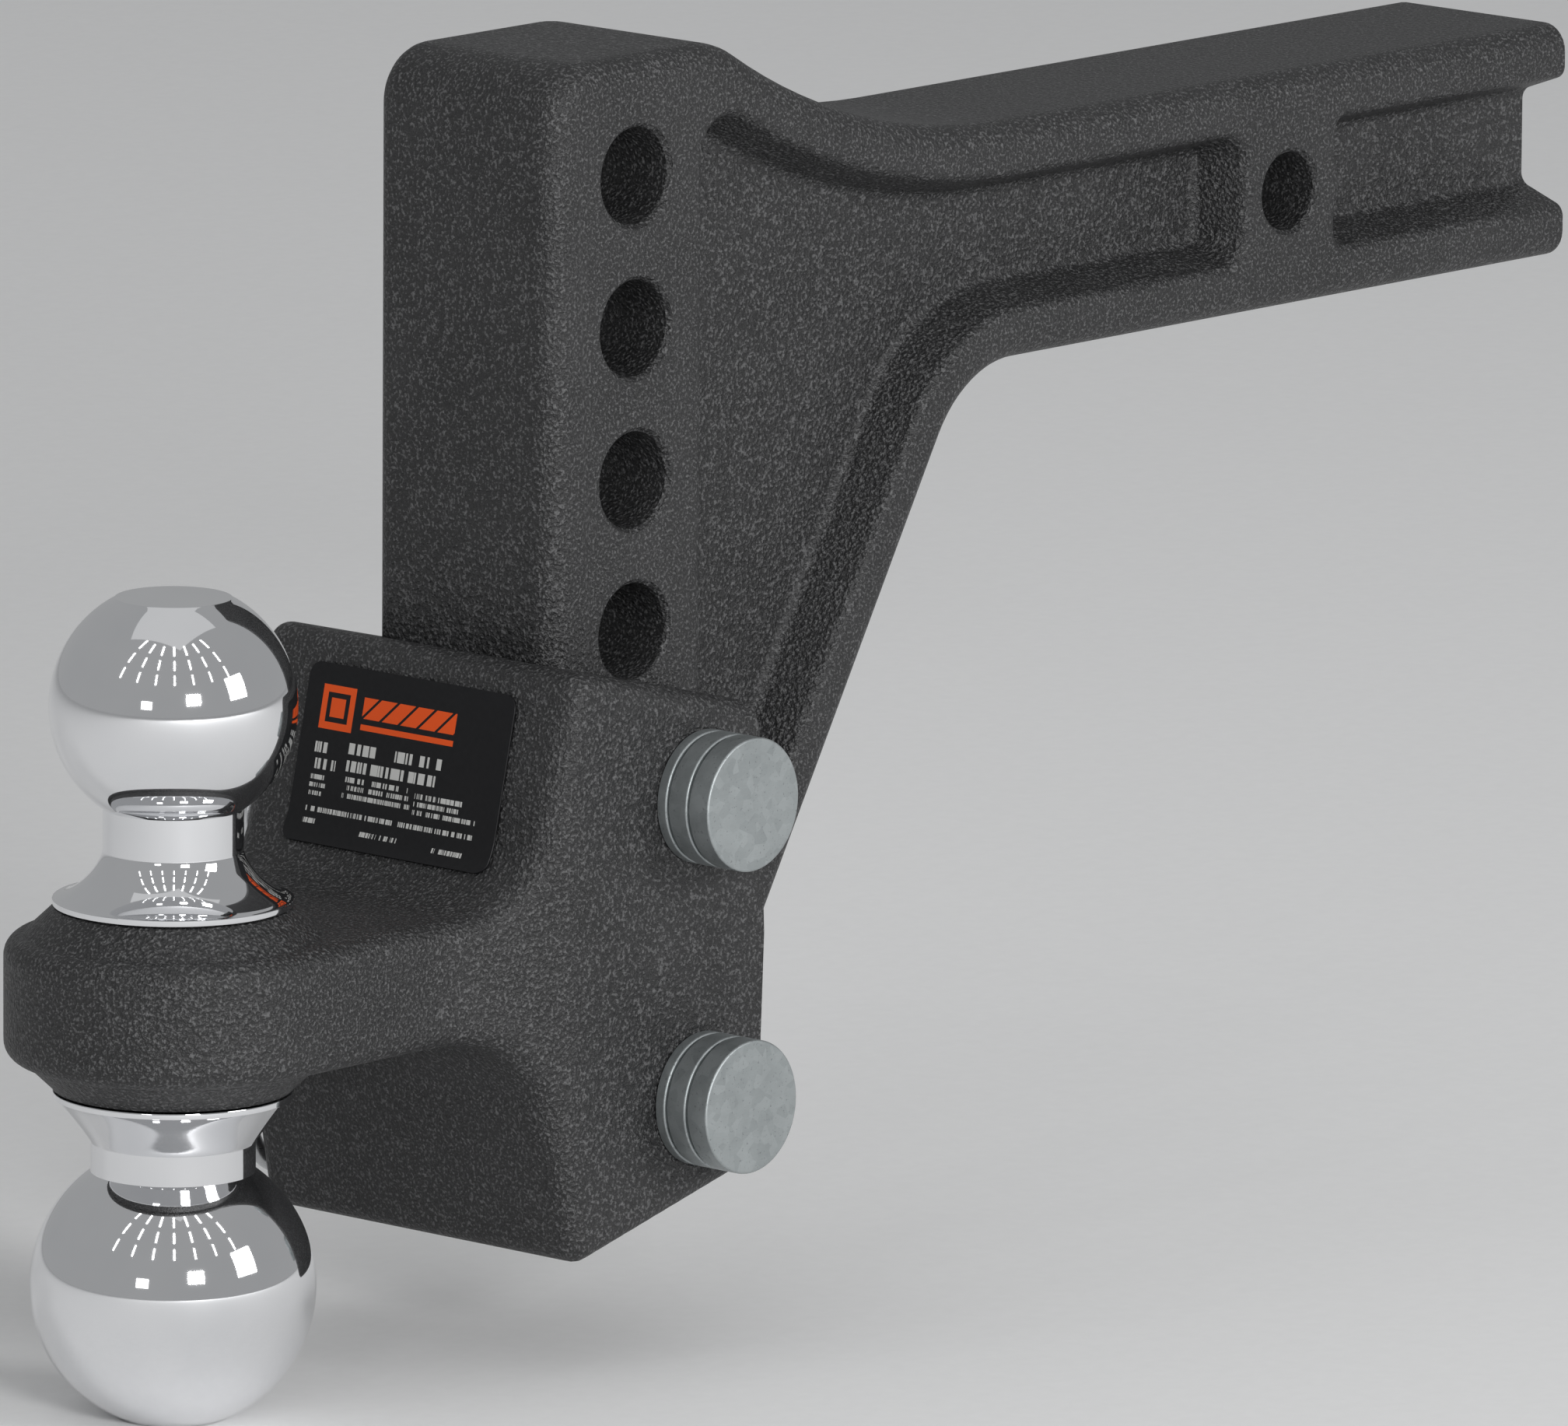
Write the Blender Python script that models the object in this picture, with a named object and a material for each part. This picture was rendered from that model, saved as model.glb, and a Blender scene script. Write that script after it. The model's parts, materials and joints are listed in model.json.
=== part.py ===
"""Adjustable drop hitch with a reversible dual-ball carrier.

A forged casting carries a 50.8 mm square shank and a drop column with a row of
pin holes.  A channel-shaped carrier wraps the column, is held by two headed
pins with hairpin clips, and carries a 2 in ball above and a 2-5/16 in ball
below its tongue.

Lengths below are in millimetres and become metres when a mesh is made.
X runs along the shank towards the vehicle, Z is up, and the pin heads face -Y.
The origin is the centre of the shank at its receiver-pin hole.
"""

import math

import bmesh
import bpy

MM = 0.001

# Casting: shank, column and gusset
SHANK = 50.8
SHANK_END_X = 91.0
RECEIVER_HOLE_R = 8.4
CASTING_EDGE_R = 5.8
CASTING_HALF = SHANK / 2
COLUMN_HOLE_X = -207.0
COLUMN_HOLE_R = 10.1
COLUMN_HOLE_PITCH = 31.75
COLUMN_HOLE_COUNT = 7
COLUMN_TOP_HOLE_Z = 28.3
COLUMN_FRONT_X = COLUMN_HOLE_X - CASTING_HALF
COLUMN_PAD_X = COLUMN_HOLE_X + 20.4
HOLE_CHAMFER = 1.0
COLUMN_TOP_Z = 53.0
COLUMN_BOTTOM_Z = -184.0
COLUMN_TOP_LENGTH = 53.1
NECK_ANGLE = math.radians(31.1)
GUSSET_ANGLE = math.radians(60.0)
GUSSET_TOP_X = -101.4
GUSSET_TOP_R = 28.0
NECK_FOOT_R = 167.0
RECESS_DEPTH = 11.8
RECESS_WALL = 11.0
RECESS_DRAFT = math.radians(20.0)
RECESS_RIM_R = 3.0
RECESS_FLOOR_R = 3.0
RECESS_END_X = -13.9
END_RECESS_X = 15.2

# Ball carrier
BALL_X = COLUMN_HOLE_X - 111.2
TONGUE_Z = COLUMN_TOP_HOLE_Z - 5 * COLUMN_HOLE_PITCH
TONGUE_HALF = 13.2
BOSS_R = 34.6
CARRIER_HALF = 44.3
CARRIER_HEIGHT_HALF = 62.7
CARRIER_FRONT_X = -244.2
CARRIER_REAR_X = -187.4
CARRIER_TAPER = math.tan(math.radians(14.3))
CARRIER_REAR_DRAFT = 2.0
CARRIER_REAR_CORNER_R = 11.0
FACE_LEAN = math.tan(math.radians(12.9))
FACE_FILLET_R = 18.0
CARRIER_EDGE_R = 4.5
CHANNEL_GAP = 0.4
COLLAR_BASE_R = 30.2
COLLAR_TOP_R = 24.8
COLLAR_HALF = 19.0
TONGUE_BORE_R = 13.0

# Balls
UPPER_BALL_R = 25.4
LOWER_BALL_R = 29.37
BALL_OFFSET = 60.2
SEAT_GAP = 0.3
UPPER_NECK_R = 14.4
LOWER_NECK_R = 16.9
UPPER_NECK_START = 11.4
LOWER_NECK_START = 10.7
FLANGE_R = 24.7
FLANGE_EDGE = 1.3
UPPER_FLARE_POWER = 1.3
LOWER_FLARE_POWER = 1.85
STUD_R = 12.7
STUD_THREAD_R = 12.2
STUD_LENGTH = 71.0
LOWER_BORE_R = 12.55
LOWER_BORE_DEPTH = 36.0

# Adjusting pins and hairpin clips
PIN_R = 9.525
PIN_HEAD_R = 13.97
PIN_HEAD_RIBS = (5.2, 4.8, 2.5)
PIN_GROOVE_WIDTH = 0.8
PIN_GROOVE_DEPTH = 1.0
PIN_RIM_CHAMFER = 0.4
PIN_TIP_Y = 57.0
PIN_SEAT_GAP = 0.3
CLIP_Y = 48.2
CLIP_WIRE_R = 2.0
CLIP_HOLE_R = 2.4
CLIP_LOOP_R = 11.9

# Rating label
LABEL_HALF_WIDTH = 28.8
LABEL_LENGTH = 37.8
LABEL_TOP = 7.0
LABEL_THICKNESS = 0.35
LABEL_GAP = 0.3
LABEL_CORNER_R = 3.0


# ---------------------------------------------------------------- outlines

def rounded(corners, step=math.radians(10.0), closed=True, flatness=0.12):
    """Turn (a, b, radius) corners into an outline with each corner as an arc.

    A corner that inset() has moved also keeps its first radius, last, so that its arc
    has the same number of points on every ring of a pocket.
    """
    points = []
    count = len(corners)
    for index, corner in enumerate(corners):
        a, b, radius = corner[:3]
        if radius <= 0.0 or (not closed and index in (0, count - 1)):
            points.append((a, b))
            continue
        before = corners[index - 1]
        after = corners[(index + 1) % count]
        in_angle = math.atan2(b - before[1], a - before[0])
        out_angle = math.atan2(after[1] - b, after[0] - a)
        turn = math.remainder(out_angle - in_angle, 2 * math.pi)
        reach = radius * math.tan(abs(turn) / 2)
        side = math.copysign(1.0, turn)
        start_a = a - reach * math.cos(in_angle)
        start_b = b - reach * math.sin(in_angle)
        centre_a = start_a - side * radius * math.sin(in_angle)
        centre_b = start_b + side * radius * math.cos(in_angle)
        smooth = abs(turn) * math.sqrt(corner[-1] / (8 * flatness))
        arcs = max(2, math.ceil(abs(turn) / step - 0.01), math.ceil(smooth - 0.01))
        for k in range(arcs + 1):
            angle = in_angle + turn * k / arcs
            points.append((centre_a + side * radius * math.sin(angle),
                           centre_b - side * radius * math.cos(angle)))
    return points


def inset(corners, distance):
    """Move every side of a clockwise outline inwards, keeping its arcs in step."""
    moved = []
    count = len(corners)
    for index, corner in enumerate(corners):
        a, b, radius = corner[:3]
        before = corners[index - 1]
        after = corners[(index + 1) % count]
        in_angle = math.atan2(b - before[1], a - before[0])
        out_angle = math.atan2(after[1] - b, after[0] - a)
        turn = math.remainder(out_angle - in_angle, 2 * math.pi)
        middle = in_angle + turn / 2 - math.pi / 2
        shift = distance / math.cos(turn / 2)
        new_radius = max(0.3, radius - distance) if turn < 0 else radius + distance
        moved.append((a + shift * math.cos(middle), b + shift * math.sin(middle), new_radius,
                      corner[-1]))
    return moved


# ---------------------------------------------------------------- meshes

def make_object(name, mesh_data, material, location=(0, 0, 0), smooth=True):
    """Link a bmesh as a named object, with lengths turned from mm to metres."""
    bmesh.ops.remove_doubles(mesh_data, verts=mesh_data.verts, dist=1e-4)
    bmesh.ops.recalc_face_normals(mesh_data, faces=mesh_data.faces)
    bmesh.ops.scale(mesh_data, vec=(MM, MM, MM), verts=mesh_data.verts)
    mesh = bpy.data.meshes.new(name)
    mesh_data.to_mesh(mesh)
    mesh_data.free()
    mesh.polygons.foreach_set("use_smooth", [smooth] * len(mesh.polygons))
    if smooth:
        mesh.set_sharp_from_angle(angle=math.radians(35))
    obj = bpy.data.objects.new(name, mesh)
    obj.location = [value * MM for value in location]
    bpy.context.scene.collection.objects.link(obj)
    if material:
        mesh.materials.append(material)
    return obj


def loft(rings, cap=True):
    """Join equal rings of 3-D points into one closed mesh."""
    mesh = bmesh.new()
    loops = [[mesh.verts.new(point) for point in ring] for ring in rings]
    size = len(loops[0])
    for lower, upper in zip(loops, loops[1:]):
        for k in range(size):
            mesh.faces.new((lower[k], lower[(k + 1) % size], upper[(k + 1) % size], upper[k]))
    if cap:
        mesh.faces.new(loops[0][::-1])
        mesh.faces.new(loops[-1])
    return mesh


def prism(outline, low, high, axis):
    """Extrude an outline along Y (outline in X, Z) or along Z (outline in X, Y)."""
    if axis == "Y":
        rings = [[(a, level, b) for a, b in outline] for level in (low, high)]
    else:
        rings = [[(a, b, level) for a, b in outline] for level in (low, high)]
    return loft(rings)


def revolve(profile, segments=48, axis="Z"):
    """Turn an open (radius, height) profile that starts and ends on the axis."""
    mesh = bmesh.new()
    angles = [2 * math.pi * k / segments for k in range(segments)]
    place = {
        "Z": lambda r, h, t: (r * math.cos(t), r * math.sin(t), h),
        "Y": lambda r, h, t: (r * math.cos(t), h, r * math.sin(t)),
        "X": lambda r, h, t: (h, r * math.cos(t), r * math.sin(t)),
    }[axis]
    rows = []
    for radius, height in profile:
        if radius == 0.0:
            rows.append([mesh.verts.new(place(0.0, height, 0.0))])
        else:
            rows.append([mesh.verts.new(place(radius, height, t)) for t in angles])
    for one, two in zip(rows, rows[1:]):
        for k in range(segments):
            n = (k + 1) % segments
            if len(one) == 1:
                mesh.faces.new((one[0], two[n], two[k]))
            elif len(two) == 1:
                mesh.faces.new((one[k], one[n], two[0]))
            else:
                mesh.faces.new((one[k], one[n], two[n], two[k]))
    return mesh


def sphere_arc(radius, low_angle, high_angle, steps):
    """Profile points on a sphere, from one latitude in degrees to another."""
    angles = [math.radians(low_angle + (high_angle - low_angle) * k / steps)
              for k in range(steps + 1)]
    return [(radius * math.cos(a), radius * math.sin(a)) for a in angles]


def cut(target, tool, operation="DIFFERENCE"):
    """Apply a live Boolean with a hidden tool object."""
    modifier = target.modifiers.new(tool.name, "BOOLEAN")
    modifier.object = tool
    modifier.operation = operation
    modifier.solver = "EXACT"
    tool.hide_render = True
    tool.display_type = "WIRE"


def round_edges(target, width, segments):
    """Round every edge sharper than the facets of an arc."""
    modifier = target.modifiers.new("rounded_edges", "BEVEL")
    modifier.width = width * MM
    modifier.segments = segments
    modifier.limit_method = "ANGLE"
    modifier.angle_limit = math.radians(35)
    modifier.use_clamp_overlap = False


def principled(name, colour, roughness, metallic):
    """Make a plain material."""
    material = bpy.data.materials.new(name)
    material.use_nodes = True
    shader = material.node_tree.nodes["Principled BSDF"]
    shader.inputs["Base Color"].default_value = (*colour, 1.0)
    shader.inputs["Roughness"].default_value = roughness
    shader.inputs["Metallic"].default_value = metallic
    material.diffuse_color = (*colour, 1.0)
    return material


# ---------------------------------------------------------------- shapes used twice

def hole_z(number):
    """Height of a column hole, counted from 1 at the top."""
    return COLUMN_TOP_HOLE_Z - (number - 1) * COLUMN_HOLE_PITCH


def hole_tool(name, radius, half_width, chamfer, x, z):
    """A through-hole along Y with a chamfer at both faces."""
    over = 6.0
    profile = [
        (0.0, -half_width - over),
        (radius + chamfer + over, -half_width - over),
        (radius, -half_width + chamfer),
        (radius, half_width - chamfer),
        (radius + chamfer + over, half_width + over),
        (0.0, half_width + over),
    ]
    return make_object(name, revolve(profile, 32, "Y"), None, (x, 0, z))


def recess_sections():
    """(depth, inset) of a pocket's wall: rounded rim, drafted wall, filleted floor."""
    turn = math.pi / 2 - RECESS_DRAFT
    rim_reach = RECESS_RIM_R * math.tan(turn / 2)
    floor_reach = RECESS_FLOOR_R * math.tan(turn / 2)
    floor_inset = RECESS_DEPTH * math.tan(RECESS_DRAFT) + floor_reach
    steps = 4
    start = RECESS_RIM_R * math.sin(0.2 * turn) - rim_reach
    sections = [(-2.0, start - 0.8), (0.0, start)]
    for k in range(2, steps + 1):
        angle = turn * k / steps
        sections.append((RECESS_RIM_R * (1 - math.cos(angle)),
                         RECESS_RIM_R * math.sin(angle) - rim_reach))
    for k in range(steps, -1, -1):
        angle = turn * k / steps
        sections.append((RECESS_DEPTH - RECESS_FLOOR_R * (1 - math.cos(angle)),
                         floor_inset - RECESS_FLOOR_R * math.sin(angle)))
    return sections


def recess_tool(name, corners, side):
    """A drafted pocket with rounded rims and a filleted floor, on one side face."""
    rings = []
    for depth, shift in recess_sections():
        y = side * (CASTING_HALF - depth)
        rings.append([(a, y, b) for a, b in rounded(inset(corners, shift))])
    return make_object(name, loft(rings), None)


# ---------------------------------------------------------------- casting

def casting_outline():
    """Side view of shank, neck, column and gusset, clockwise from the column's front."""
    half = SHANK / 2
    over = SHANK_END_X + 20.0
    rear = COLUMN_FRONT_X + COLUMN_TOP_LENGTH
    neck_foot = rear + (COLUMN_TOP_Z - half) / math.tan(NECK_ANGLE)
    gusset_foot = GUSSET_TOP_X - (-half - COLUMN_BOTTOM_Z) / math.tan(GUSSET_ANGLE)
    return [
        (COLUMN_FRONT_X, COLUMN_TOP_Z, 12.0),
        (rear, COLUMN_TOP_Z, 25.0),
        (neck_foot, half, NECK_FOOT_R),
        (over, half, 0.0),
        (over, -half, 0.0),
        (GUSSET_TOP_X, -half, GUSSET_TOP_R),
        (gusset_foot, COLUMN_BOTTOM_Z, 8.0),
        (COLUMN_FRONT_X, COLUMN_BOTTOM_Z, 8.0),
    ]


def main_recess():
    """Pocket between the column, the neck, the shank and the gusset's flange."""
    half = SHANK / 2
    rear = COLUMN_FRONT_X + COLUMN_TOP_LENGTH
    top = half - RECESS_WALL
    neck_drop = RECESS_WALL / math.cos(NECK_ANGLE)
    neck = COLUMN_TOP_Z - neck_drop + rear * math.tan(NECK_ANGLE)
    gusset_shift = RECESS_WALL / math.sin(GUSSET_ANGLE)

    def gusset_x(z):
        return GUSSET_TOP_X - gusset_shift + (z + half) / math.tan(GUSSET_ANGLE)

    foot = TONGUE_Z + 22.0
    return [
        (COLUMN_PAD_X, neck - COLUMN_PAD_X * math.tan(NECK_ANGLE), 8.5),
        ((neck - top) / math.tan(NECK_ANGLE), top, NECK_FOOT_R + RECESS_WALL),
        (RECESS_END_X, top, 7.0),
        (RECESS_END_X, -top, 7.0),
        (gusset_x(-top), -top, GUSSET_TOP_R + RECESS_WALL),
        (gusset_x(foot), foot, 4.5),
        (COLUMN_PAD_X, foot, 3.5),
    ]


def end_recess():
    """Open-ended pocket at the vehicle end, bowed round the receiver hole."""
    top = SHANK / 2 - RECESS_WALL
    bow = END_RECESS_X + 1.8
    over = SHANK_END_X + 30.0
    return [
        (END_RECESS_X, top, 4.0),
        (over, top, 0.0),
        (over, -top, 0.0),
        (END_RECESS_X, -top, 4.0),
        (END_RECESS_X, -top * 0.4, 4.0),
        (bow, 0.0, 6.0),
        (END_RECESS_X, top * 0.4, 4.0),
    ]


def build_casting(material):
    """Shank, neck, column and gusset as one forging."""
    outline = rounded(casting_outline())
    casting = make_object("shank_and_column",
                          prism(outline, -CASTING_HALF, CASTING_HALF, "Y"), material)
    round_edges(casting, CASTING_EDGE_R, 4)
    end = [(SHANK_END_X, -40.0), (SHANK_END_X, 40.0), (SHANK_END_X + 60, 40.0),
           (SHANK_END_X + 60, -40.0)]
    cut(casting, make_object("tool_shank_end", prism(end, -40, 40, "Y"), None))
    for side, label in ((-1, "near"), (1, "far")):
        cut(casting, recess_tool("tool_recess_" + label, main_recess(), side))
        cut(casting, recess_tool("tool_end_recess_" + label, end_recess(), side))
    for number in range(1, COLUMN_HOLE_COUNT + 1):
        cut(casting, hole_tool("tool_column_hole_%d" % number, COLUMN_HOLE_R, CASTING_HALF,
                               HOLE_CHAMFER, COLUMN_HOLE_X, hole_z(number)))
    cut(casting, hole_tool("tool_receiver_hole", RECEIVER_HOLE_R, CASTING_HALF, HOLE_CHAMFER,
                           0, 0))
    return casting


# ---------------------------------------------------------------- carrier

def carrier_slope(x):
    """Half height of the carrier at x, where its top and bottom taper to the rear."""
    return CARRIER_HEIGHT_HALF - CARRIER_TAPER * (x - CARRIER_FRONT_X)


def mirrored(upper):
    """Complete an outline that is the same above and below the tongue."""
    lower = [(a, -b, radius) for a, b, radius in reversed(upper) if b > 0.0]
    return [(a, TONGUE_Z + b, radius) for a, b, radius in upper + lower]


def carrier_side_outline():
    """Side view of the carrier, clockwise, running on past its rear edge."""
    lean = FACE_LEAN * (CARRIER_HEIGHT_HALF - TONGUE_HALF)
    tip = BALL_X - BOSS_R - 8.0
    over = CARRIER_REAR_X + 25.0
    return mirrored([
        (tip, TONGUE_HALF, 0.0),
        (CARRIER_FRONT_X - lean, TONGUE_HALF, FACE_FILLET_R),
        (CARRIER_FRONT_X, CARRIER_HEIGHT_HALF, 0.0),
        (over, carrier_slope(over), 0.0),
    ])


def carrier_rear_outline():
    """Side view of what is left of the rear of the side plates, with round corners."""
    corner_x = CARRIER_REAR_X - CARRIER_REAR_DRAFT
    corner_z = carrier_slope(corner_x) + 0.3
    reach = 190.0
    return mirrored([
        (corner_x - reach, corner_z + 0.35 * reach, 0.0),
        (corner_x, corner_z, CARRIER_REAR_CORNER_R),
        (CARRIER_REAR_X, 0.0, 0.0),
    ])


def carrier_plan_outline():
    """Plan view of the carrier: round boss, tongue, flare and side plates."""
    one_side = [
        (BALL_X - BOSS_R, BOSS_R, BOSS_R),
        (BALL_X + 45.0, BOSS_R, 50.0),
        (CARRIER_FRONT_X - 1.0, CARRIER_HALF, 22.0),
        (CARRIER_REAR_X + 35.0, CARRIER_HALF, 0.0),
    ]
    return one_side + [(a, -b, radius) for a, b, radius in reversed(one_side)]


def build_carrier(material):
    """Channel bracket with a forward tongue and a conical collar above and below."""
    side = rounded(carrier_side_outline(), math.radians(12))
    carrier = make_object("ball_carrier", prism(side, -60, 60, "Y"), material)
    plan = rounded(carrier_plan_outline(), math.radians(8))
    cut(carrier, make_object("tool_carrier_plan", prism(plan, TONGUE_Z - 90, TONGUE_Z + 90, "Z"),
                             None), "INTERSECT")
    round_edges(carrier, CARRIER_EDGE_R, 4)
    rear = rounded(carrier_rear_outline())
    cut(carrier, make_object("tool_carrier_rear", prism(rear, -70, 70, "Y"), None), "INTERSECT")
    collars = [(0.0, -COLLAR_HALF), (COLLAR_TOP_R - 0.5, -COLLAR_HALF),
               (COLLAR_TOP_R, -COLLAR_HALF + 0.4), (COLLAR_BASE_R + 0.6, -TONGUE_HALF + 0.4),
               (COLLAR_BASE_R + 0.6, TONGUE_HALF - 0.4), (COLLAR_TOP_R, COLLAR_HALF - 0.4),
               (COLLAR_TOP_R - 0.5, COLLAR_HALF), (0.0, COLLAR_HALF)]
    cut(carrier, make_object("tool_collars", revolve(collars, 64), None, (BALL_X, 0, TONGUE_Z)),
        "UNION")
    bore = [(0.0, -40.0), (TONGUE_BORE_R, -40.0), (TONGUE_BORE_R, 40.0), (0.0, 40.0)]
    cut(carrier, make_object("tool_tongue_bore", revolve(bore, 48), None, (BALL_X, 0, TONGUE_Z)))
    inner = CASTING_HALF + CHANNEL_GAP
    front = COLUMN_FRONT_X - CHANNEL_GAP
    channel = rounded([(front, inner, 4.8), (COLUMN_PAD_X + 60, inner, 0.0),
                       (COLUMN_PAD_X + 60, -inner, 0.0), (front, -inner, 4.8)])
    cut(carrier, make_object("tool_channel", prism(channel, TONGUE_Z - 90, TONGUE_Z + 90, "Z"),
                             None))
    for number in (5, 7):
        cut(carrier, hole_tool("tool_carrier_hole_%d" % number, COLUMN_HOLE_R, CARRIER_HALF,
                               HOLE_CHAMFER, COLUMN_HOLE_X, hole_z(number)))
    return carrier


# ---------------------------------------------------------------- balls

def flange_profile(neck_radius, seat, neck_start, power):
    """Flange rim and the flare up to the neck; heights grow away from the seat."""
    rim = seat + FLANGE_EDGE
    points = [(FLANGE_R - 0.3, seat), (FLANGE_R, seat + 0.3), (FLANGE_R, rim)]
    for k in range(1, 8):
        t = math.radians(90 * k / 7)
        points.append((FLANGE_R - 0.3 - (FLANGE_R - 0.3 - neck_radius) * math.sin(t) ** power,
                       rim + (neck_start - FLANGE_EDGE) * (1 - math.cos(t) ** power)))
    return points


def build_upper_ball(material):
    """2 in ball with its neck, flange and the stud that goes through the tongue."""
    seat = -(BALL_OFFSET - COLLAR_HALF - SEAT_GAP)
    neck_end = -math.sqrt(UPPER_BALL_R ** 2 - UPPER_NECK_R ** 2)
    shoulder = seat - 2 * COLLAR_HALF - SEAT_GAP
    profile = [(0.0, seat - STUD_LENGTH), (STUD_THREAD_R - 1.2, seat - STUD_LENGTH),
               (STUD_THREAD_R, seat - STUD_LENGTH + 1.2), (STUD_THREAD_R, shoulder - 0.5),
               (STUD_R, shoulder), (STUD_R, seat)]
    profile += flange_profile(UPPER_NECK_R, seat, UPPER_NECK_START, UPPER_FLARE_POWER)
    start = math.degrees(math.asin(neck_end / UPPER_BALL_R))
    profile += sphere_arc(UPPER_BALL_R, start, 61.3, 17)
    flat = UPPER_BALL_R * math.sin(math.radians(61.3))
    profile += [(UPPER_BALL_R * math.cos(math.radians(61.3)) - 0.5, flat + 0.3),
                (0.0, flat + 0.3)]
    return make_object("upper_ball", revolve(profile, 52), material,
                       (BALL_X, 0, TONGUE_Z + BALL_OFFSET))


def build_lower_ball(material):
    """2-5/16 in ball, bored blind from its flange to take the upper ball's stud."""
    seat = -(BALL_OFFSET - COLLAR_HALF - SEAT_GAP)
    neck_end = -math.sqrt(LOWER_BALL_R ** 2 - LOWER_NECK_R ** 2)
    start = math.degrees(math.asin(neck_end / LOWER_BALL_R))
    profile = [(0.0, seat + LOWER_BORE_DEPTH), (LOWER_BORE_R, seat + LOWER_BORE_DEPTH - 3.0),
               (LOWER_BORE_R, seat + 0.8), (LOWER_BORE_R + 0.8, seat)]
    profile += flange_profile(LOWER_NECK_R, seat, LOWER_NECK_START, LOWER_FLARE_POWER)
    profile += sphere_arc(LOWER_BALL_R, start, 65.9, 18)
    flat = LOWER_BALL_R * math.sin(math.radians(65.9))
    profile += [(LOWER_BALL_R * math.cos(math.radians(65.9)) - 0.5, flat + 0.3),
                (0.0, flat + 0.3)]
    turned_over = [(radius, -height) for radius, height in profile]
    return make_object("lower_ball", revolve(turned_over, 52), material,
                       (BALL_X, 0, TONGUE_Z - BALL_OFFSET))


# ---------------------------------------------------------------- pins and clips

def build_pin(name, number, material):
    """Headed pin through carrier and column, cross-drilled for its clip."""
    seat = -CARRIER_HALF - PIN_SEAT_GAP
    y = seat - sum(PIN_HEAD_RIBS) - PIN_GROOVE_WIDTH * (len(PIN_HEAD_RIBS) - 1)
    c = PIN_RIM_CHAMFER
    profile = [(0.0, y)]
    for index, rib in enumerate(PIN_HEAD_RIBS):
        profile += [(PIN_HEAD_R - c, y), (PIN_HEAD_R, y + c), (PIN_HEAD_R, y + rib)]
        y += rib
        if index < len(PIN_HEAD_RIBS) - 1:
            profile += [(PIN_HEAD_R - PIN_GROOVE_DEPTH, y + 0.2)]
            y += PIN_GROOVE_WIDTH
            profile += [(PIN_HEAD_R - PIN_GROOVE_DEPTH, y)]
    profile += [(PIN_R, seat), (PIN_R, PIN_TIP_Y - 1.8), (PIN_R - 1.8, PIN_TIP_Y),
                (0.0, PIN_TIP_Y)]
    location = (COLUMN_HOLE_X, 0, hole_z(number))
    pin = make_object(name, revolve(profile, 40, "Y"), material, location)
    drill = [(0.0, -20.0), (CLIP_HOLE_R, -20.0), (CLIP_HOLE_R, 20.0), (0.0, 20.0)]
    tool = make_object("tool_drill_" + name, revolve(drill, 20, "X"), None,
                       (COLUMN_HOLE_X, CLIP_Y, hole_z(number)))
    cut(pin, tool)
    return pin


def clip_route():
    """Centre line of a hairpin clip about its pin: leg, loop, waist, hump and tip."""
    d = 2 * CLIP_LOOP_R
    far = -25.7 - CLIP_LOOP_R
    hump = PIN_R + CLIP_WIRE_R + 1.5
    corners = [(26.0, 0.0, 0.0), (far, 0.0, CLIP_LOOP_R), (far, -d, CLIP_LOOP_R - 0.05),
               (-17.6, -d, CLIP_LOOP_R - 0.05), (-11.5, -8.0, 5.0), (0.0, -hump, 11.5),
               (11.5, -8.0, 5.0), (21.0, -13.0, 0.0)]
    return rounded(corners, math.radians(12), closed=False)


def build_clip(name, number, material):
    """Round wire swept along the clip's route, with rounded tips."""
    route = clip_route()
    count = len(route)
    rings = []
    for index, (a, b) in enumerate(route):
        before = route[max(0, index - 1)]
        after = route[min(count - 1, index + 1)]
        angle = math.atan2(after[1] - before[1], after[0] - before[0])
        shrink = 0.6 if index in (0, count - 1) else 1.0
        radius = CLIP_WIRE_R * shrink
        ring = []
        for k in range(10):
            t = 2 * math.pi * k / 10
            side = radius * math.cos(t)
            ring.append((a - side * math.sin(angle), radius * math.sin(t),
                         b + side * math.cos(angle)))
        rings.append(ring)
        if index in (0, count - 1):
            step = 0.8 if index == 0 else -0.8
            full = [(ax + step * math.cos(angle) + (ax - a) * 0.66,
                     ay / shrink, az + step * math.sin(angle) + (az - b) * 0.66)
                    for ax, ay, az in ring]
            rings.insert(len(rings) if index == 0 else len(rings) - 1, full)
    return make_object(name, loft(rings), material, (COLUMN_HOLE_X, CLIP_Y, hole_z(number)))


# ---------------------------------------------------------------- label

def face_point(distance):
    """Point and outward normal on the carrier's front face, measured down from its top."""
    lean = math.atan(FACE_LEAN)
    slope_length = (CARRIER_HEIGHT_HALF - TONGUE_HALF) / math.cos(lean)
    straight = slope_length - FACE_FILLET_R * math.tan((math.pi / 2 - lean) / 2)
    along = min(distance, straight)
    x = CARRIER_FRONT_X - along * math.sin(lean)
    z = TONGUE_Z + CARRIER_HEIGHT_HALF - along * math.cos(lean)
    normal = math.pi - lean
    bend = max(0.0, distance - straight) / FACE_FILLET_R
    centre_x = x + FACE_FILLET_R * math.cos(normal)
    centre_z = z + FACE_FILLET_R * math.sin(normal)
    turned = normal - bend
    return (centre_x - FACE_FILLET_R * math.cos(turned), centre_z - FACE_FILLET_R * math.sin(turned),
            math.cos(turned), math.sin(turned))


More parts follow.
